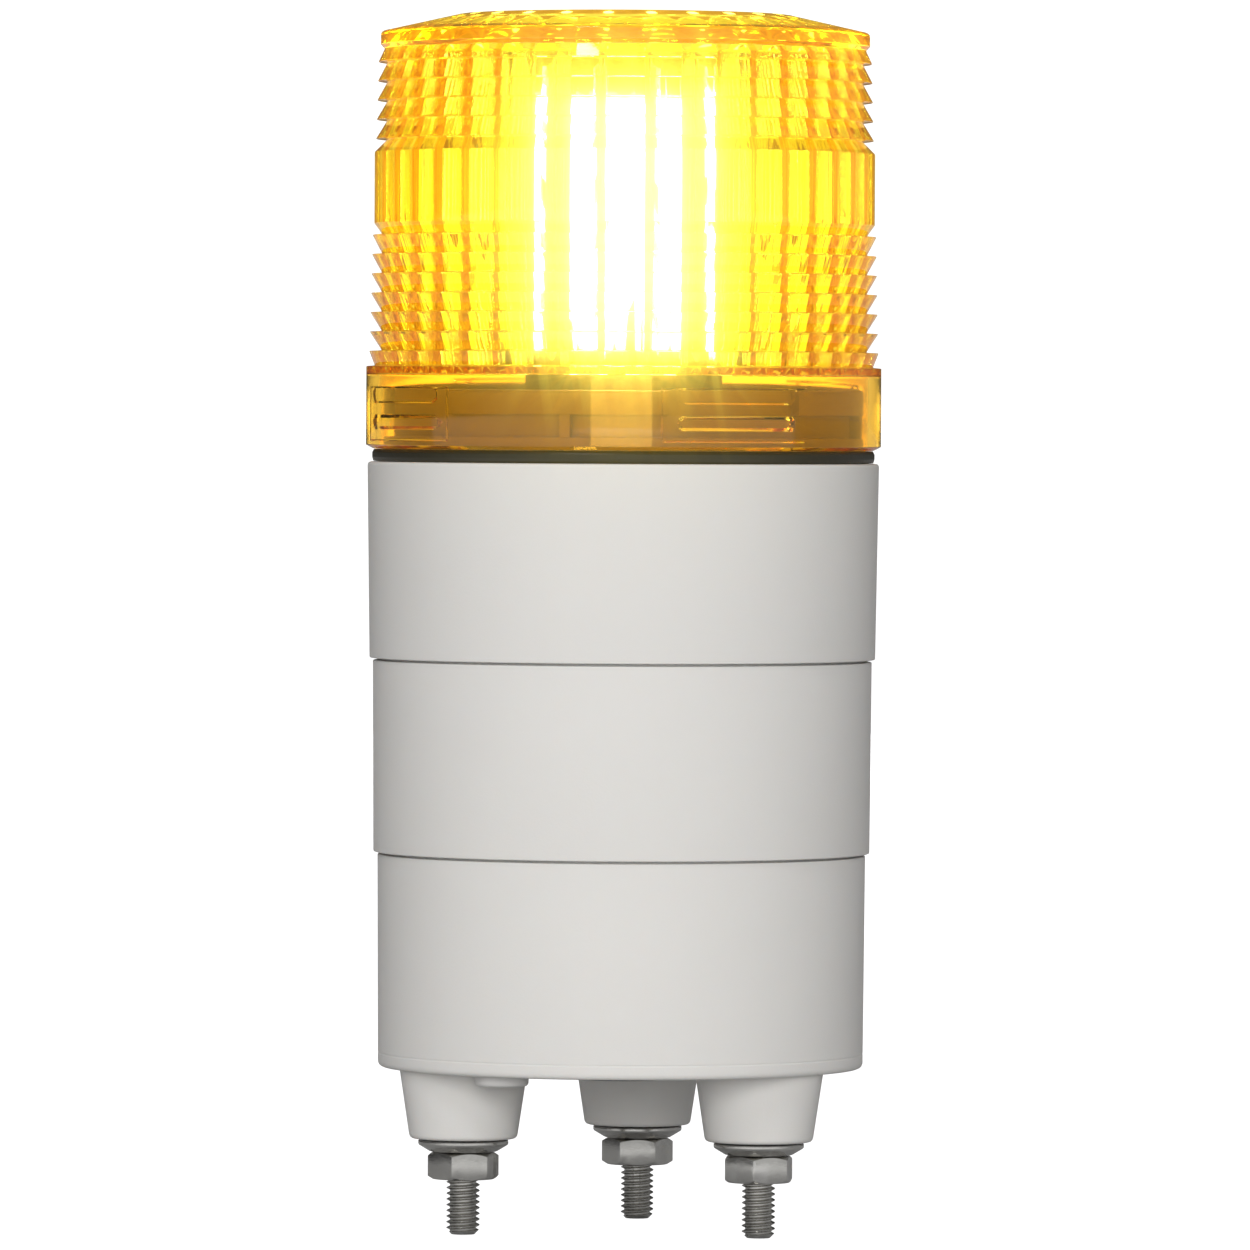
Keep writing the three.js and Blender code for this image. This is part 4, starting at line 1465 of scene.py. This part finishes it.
@dataclass
class LightTower:
    """The lit tower: four upright boards with LEDs, in a socket, under a cap, inside a clear tube."""

    tube_wall: float = 0.95

    def build(self, palette: Palette) -> None:
        """Builds and dresses the tower.

        Args:
            palette: The finishes.
        """
        for side in ("front", "right", "back", "left"):
            dress(f"led_board_{side}", palette.board_white_painted_glow)
            for k in (1, 2, 3):
                dress(f"led_{side}_{k}", palette.phosphor)
        dress("lamp_board", palette.mask_white)
        dress("tower_cap", palette.mask_white)
        dress("tower_socket", palette.socket)
        for k in (1, 2, 3):
            dress(f"holder_screw_{k}", palette.steel)
        place(self.tube(), "housing", palette.clear, ["light_tube"])

    def tube(self) -> bpy.types.Object:
        """Makes the clear tube round the boards.

        Returns:
            The tube.
        """
        bottom, top = heights("light_tube")
        outer = half_width("light_tube")
        return turned("LightTube", [
            Corner(outer - self.tube_wall, bottom, 0.1),
            Corner(outer, bottom, 0.1),
            Corner(outer, top, 0.2),
            Corner(outer - self.tube_wall, top, 0.2),
        ], 128)


@dataclass
class PowerStage:
    """The round power board in the housing, with what stands on it."""

    def build(self, palette: Palette) -> None:
        """Dresses the power stage.

        Args:
            palette: The finishes.
        """
        dress("power_board", palette.mask_green)
        dress("transformer", palette.ferrite)
        dress("capacitor_large", palette.sleeve)
        dress("capacitor_small", palette.sleeve)
        dress("terminal_block", palette.terminal)
        dress("lead_positive", palette.wire_red)
        dress("lead_negative", palette.wire_black)
        for k in (1, 2, 3):
            dress(f"board_screw_{k}", palette.steel)


# ---------------------------------------------------------------- studio


@dataclass
class Studio:
    """The pale floor, the soft lights and the camera."""

    distance: float = 1.018
    azimuth: float = 6.0
    eye_height: float = 0.06475
    aim_height: float = 0.0449
    aim_right: float = 0.00022
    frame_height: float = 0.110
    roll: float = 0.30
    sensor: float = 36.0
    floor_gap: float = 0.0002
    floor_half: float = 4.0
    floor_glow: float = 0.96
    floor_mirrored: float = 0.5
    floor_front: Point = (-0.03, -0.07)   # where the mirrored floor turns bright, along Y
    key_energy: float = 12.6
    back_energy: float = 6.0
    sparkle_energy: float = 1.2
    overexposed: float = 2.0
    bloom_strength: float = 0.5
    bloom_size: float = 0.4
    bloom_most: float = 7.0
    star_strength: float = 0.15
    star_most: float = 4.5
    star_rays: int = 12
    star_turn: float = 8.0
    ray_steps: int = 5
    ray_fade: float = 0.96
    fill: Colour = (0.40, 0.40, 0.405)
    backdrop: float = 1.15
    mirror_dark: float = 0.05
    mirror_bright: float = 0.62
    mirror_side: float = 0.3
    mirror_front: Point = (-0.2, -1.0)    # where the mirrored tone turns bright, along Y
    mirror_right: Point = (0.2, 0.9)      # and where its right side adds to it, along X

    def build(self) -> None:
        """Builds the studio."""
        self.world()
        self.floor()
        self.lights()
        self.camera()
        self.bloom()
        scene = bpy.context.scene
        scene.view_settings.view_transform = "Standard"
        cycles = scene.cycles
        cycles.max_bounces = 24
        cycles.transmission_bounces = 24
        cycles.transparent_max_bounces = 16
        cycles.diffuse_bounces = 4
        cycles.glossy_bounces = 8
        cycles.sample_clamp_indirect = 32.0
        cycles.caustics_reflective = False
        cycles.caustics_refractive = True

    def world(self) -> None:
        """Makes the surroundings: white where they are seen, grey where they light, banded where mirrored."""
        world = bpy.data.worlds.new("Studio")
        bpy.context.scene.world = world
        world.use_nodes = True
        bench = Bench(world.node_tree)
        fill = world.node_tree.nodes["Background"]
        bench.feed(fill, {"Color": (*self.fill, 1)})
        white = bench.add("ShaderNodeBackground", {"Strength": self.backdrop, "Color": (1, 1, 1, 1)})
        mirrored = bench.add("ShaderNodeBackground", {"Strength": self.mirrored_tone(bench)})
        rays = bench.add("ShaderNodeLightPath").outputs
        light = bench.mix_shaders(
            rays["Is Glossy Ray"], fill.outputs["Background"], mirrored.outputs["Background"])
        total = bench.mix_shaders(self.seen(bench, rays), light, white.outputs["Background"])
        bench.feed(world.node_tree.nodes["World Output"], {"Surface": total})

    def seen(self, bench: Bench, rays: bpy.types.NodeOutputs) -> bpy.types.NodeSocket:
        """Tells, as 1 or 0, whether the camera sees a place, straight or through clear plastic."""
        return bench.math("MAXIMUM", rays["Is Camera Ray"], rays["Is Transmission Ray"])

    def mirrored_tone(self, bench: Bench) -> bpy.types.NodeSocket:
        """Gives the tone that metal mirrors: bright in front, grey to the right, dark behind.

        Args:
            bench: The world's node tree.

        Returns:
            The tone's socket.
        """
        way = bench.axes("Generated")
        tones = (self.mirror_dark, self.mirror_bright)
        front = bench.span(way["Y"], self.mirror_front, tones, "SMOOTHSTEP")
        side = bench.span(way["X"], self.mirror_right, (0.0, self.mirror_side), "SMOOTHSTEP")
        return bench.math("ADD", front, side)

    def floor(self) -> None:
        """Lays the floor under the stud tips: white where seen, a dim bounce otherwise, clear from below."""
        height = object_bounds()[0][2] - self.floor_gap
        half = self.floor_half
        corners = ((-half, -half), (half, -half), (half, half), (-half, half))
        floor = add_mesh("Floor", [(x, y, height) for x, y in corners], [[0, 1, 2, 3]])
        material = Finish("PaleFloor", (0.42, 0.42, 0.42), 0.7, grain=0.0, mottle=0.0).build()
        nodes = material.node_tree.nodes
        bench = Bench(material.node_tree)
        rays = bench.add("ShaderNodeLightPath").outputs
        glow = bench.math("MULTIPLY", self.seen(bench, rays), self.floor_glow)
        place_y = bench.axes("Object")["Y"]
        front = bench.span(place_y, self.floor_front, (0.0, self.floor_mirrored), "SMOOTHSTEP")
        total = bench.math("MULTIPLY_ADD", rays["Is Glossy Ray"], front, glow)
        shader = nodes["Principled BSDF"]
        bench.feed(shader, {"Emission Color": (1, 1, 1, 1), "Emission Strength": total})
        below = bench.add("ShaderNodeNewGeometry").outputs["Backfacing"]
        clear = bench.add("ShaderNodeBsdfTransparent").outputs["BSDF"]
        bench.feed(nodes["Material Output"], {
            "Surface": bench.mix_shaders(below, shader.outputs["BSDF"], clear),
        })
        floor.data.materials.append(material)
        floor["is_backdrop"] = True

    def area(self, name: str, size: float, energy: float, spot: Vector, aim: Vector, mirrored: bool) -> None:
        """Hangs a square soft light.

        Args:
            name: The light's name.
            size: Side, in metres.
            energy: In watts.
            spot: Its place.
            aim: The point that it faces.
            mirrored: Whether glossy surfaces mirror it.
        """
        data = bpy.data.lights.new(name, "AREA")
        data.size = size
        data.energy = energy
        light = bpy.data.objects.new(name, data)
        light.location = spot
        light.visible_glossy = mirrored
        light.rotation_euler = (aim - spot).to_track_quat("-Z", "Y").to_euler()
        bpy.context.scene.collection.objects.link(light)

    def lights(self) -> None:
        """Hangs a wide key light in front, a weaker one behind, and a small high one that metal mirrors."""
        aim = Vector((0, 0, 0.045))
        self.area("Key", 0.7, self.key_energy, Vector((0.12, -1.37, 0.30)), aim, mirrored=False)
        self.area("Back", 0.9, self.back_energy, Vector((-0.15, 1.45, 0.35)), aim, mirrored=False)
        self.area("Sparkle", 0.16, self.sparkle_energy, Vector((-0.2, -0.75, 0.75)), aim, mirrored=True)

    def bloom(self) -> None:
        """Adds what the camera's lens does round the overexposed lamp: faint rays and a soft glow."""
        scene = bpy.context.scene
        scene.use_nodes = True
        scene.node_tree.nodes.clear()
        bench = Bench(scene.node_tree)
        picture = bench.add("CompositorNodeRLayers")
        rays = self.glare(bench, "STREAKS", picture, {
            "Strength": self.star_strength,
            "Maximum": self.star_most,
            "Streaks": self.star_rays,
            "Streaks Angle": math.radians(self.star_turn),
            "Iterations": self.ray_steps,
            "Fade": self.ray_fade,
            "Color Modulation": 0.0,
        })
        haze = self.glare(bench, "BLOOM", rays, {
            "Strength": self.bloom_strength,
            "Maximum": self.bloom_most,
            "Size": self.bloom_size,
        })
        bench.add("CompositorNodeComposite", {"Image": haze.outputs["Image"]})

    def glare(self, bench: Bench, kind: str, before: bpy.types.Node,
              feeds: dict[str, Feed]) -> bpy.types.Node:
        """Adds one glare step after another step, with its own inputs, and gives its node."""
        common = {"Image": before.outputs["Image"], "Threshold": self.overexposed, "Clamp": True}
        return bench.add("CompositorNodeGlare", {**common, **feeds}, glare_type=kind, quality="HIGH")

    def camera(self) -> None:
        """Sets up the camera: level with the globe's foot, square to the front."""
        turn = math.radians(self.azimuth)
        toward = Vector((math.sin(turn), -math.cos(turn), 0))
        right = Vector((math.cos(turn), math.sin(turn), 0))
        eye = toward * self.distance
        eye.z = self.eye_height
        aim = right * self.aim_right + Vector((0, 0, self.aim_height))
        data = bpy.data.cameras.new("Camera")
        data.sensor_width = self.sensor
        data.lens = self.sensor * self.distance / self.frame_height
        data.clip_start = 0.01
        data.clip_end = 20
        camera = bpy.data.objects.new("Camera", data)
        look = (aim - eye).to_track_quat("-Z", "Y").to_matrix()
        camera.matrix_world = Matrix.Translation(eye) @ (look @ Matrix.Rotation(
            math.radians(self.roll), 3, "Z")).to_4x4()
        bpy.context.scene.collection.objects.link(camera)
        bpy.context.scene.camera = camera


def main() -> None:
    logging.basicConfig(level=logging.INFO, format="%(message)s")
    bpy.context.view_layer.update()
    Studio().build()
    palette = Palette()
    for assembly in (Housing(), StudSet(), LampHolder(), Globe(), LightTower(), PowerStage()):
        assembly.build(palette)
        log.info("%s done", type(assembly).__name__)


if __name__ == "__main__":
    main()
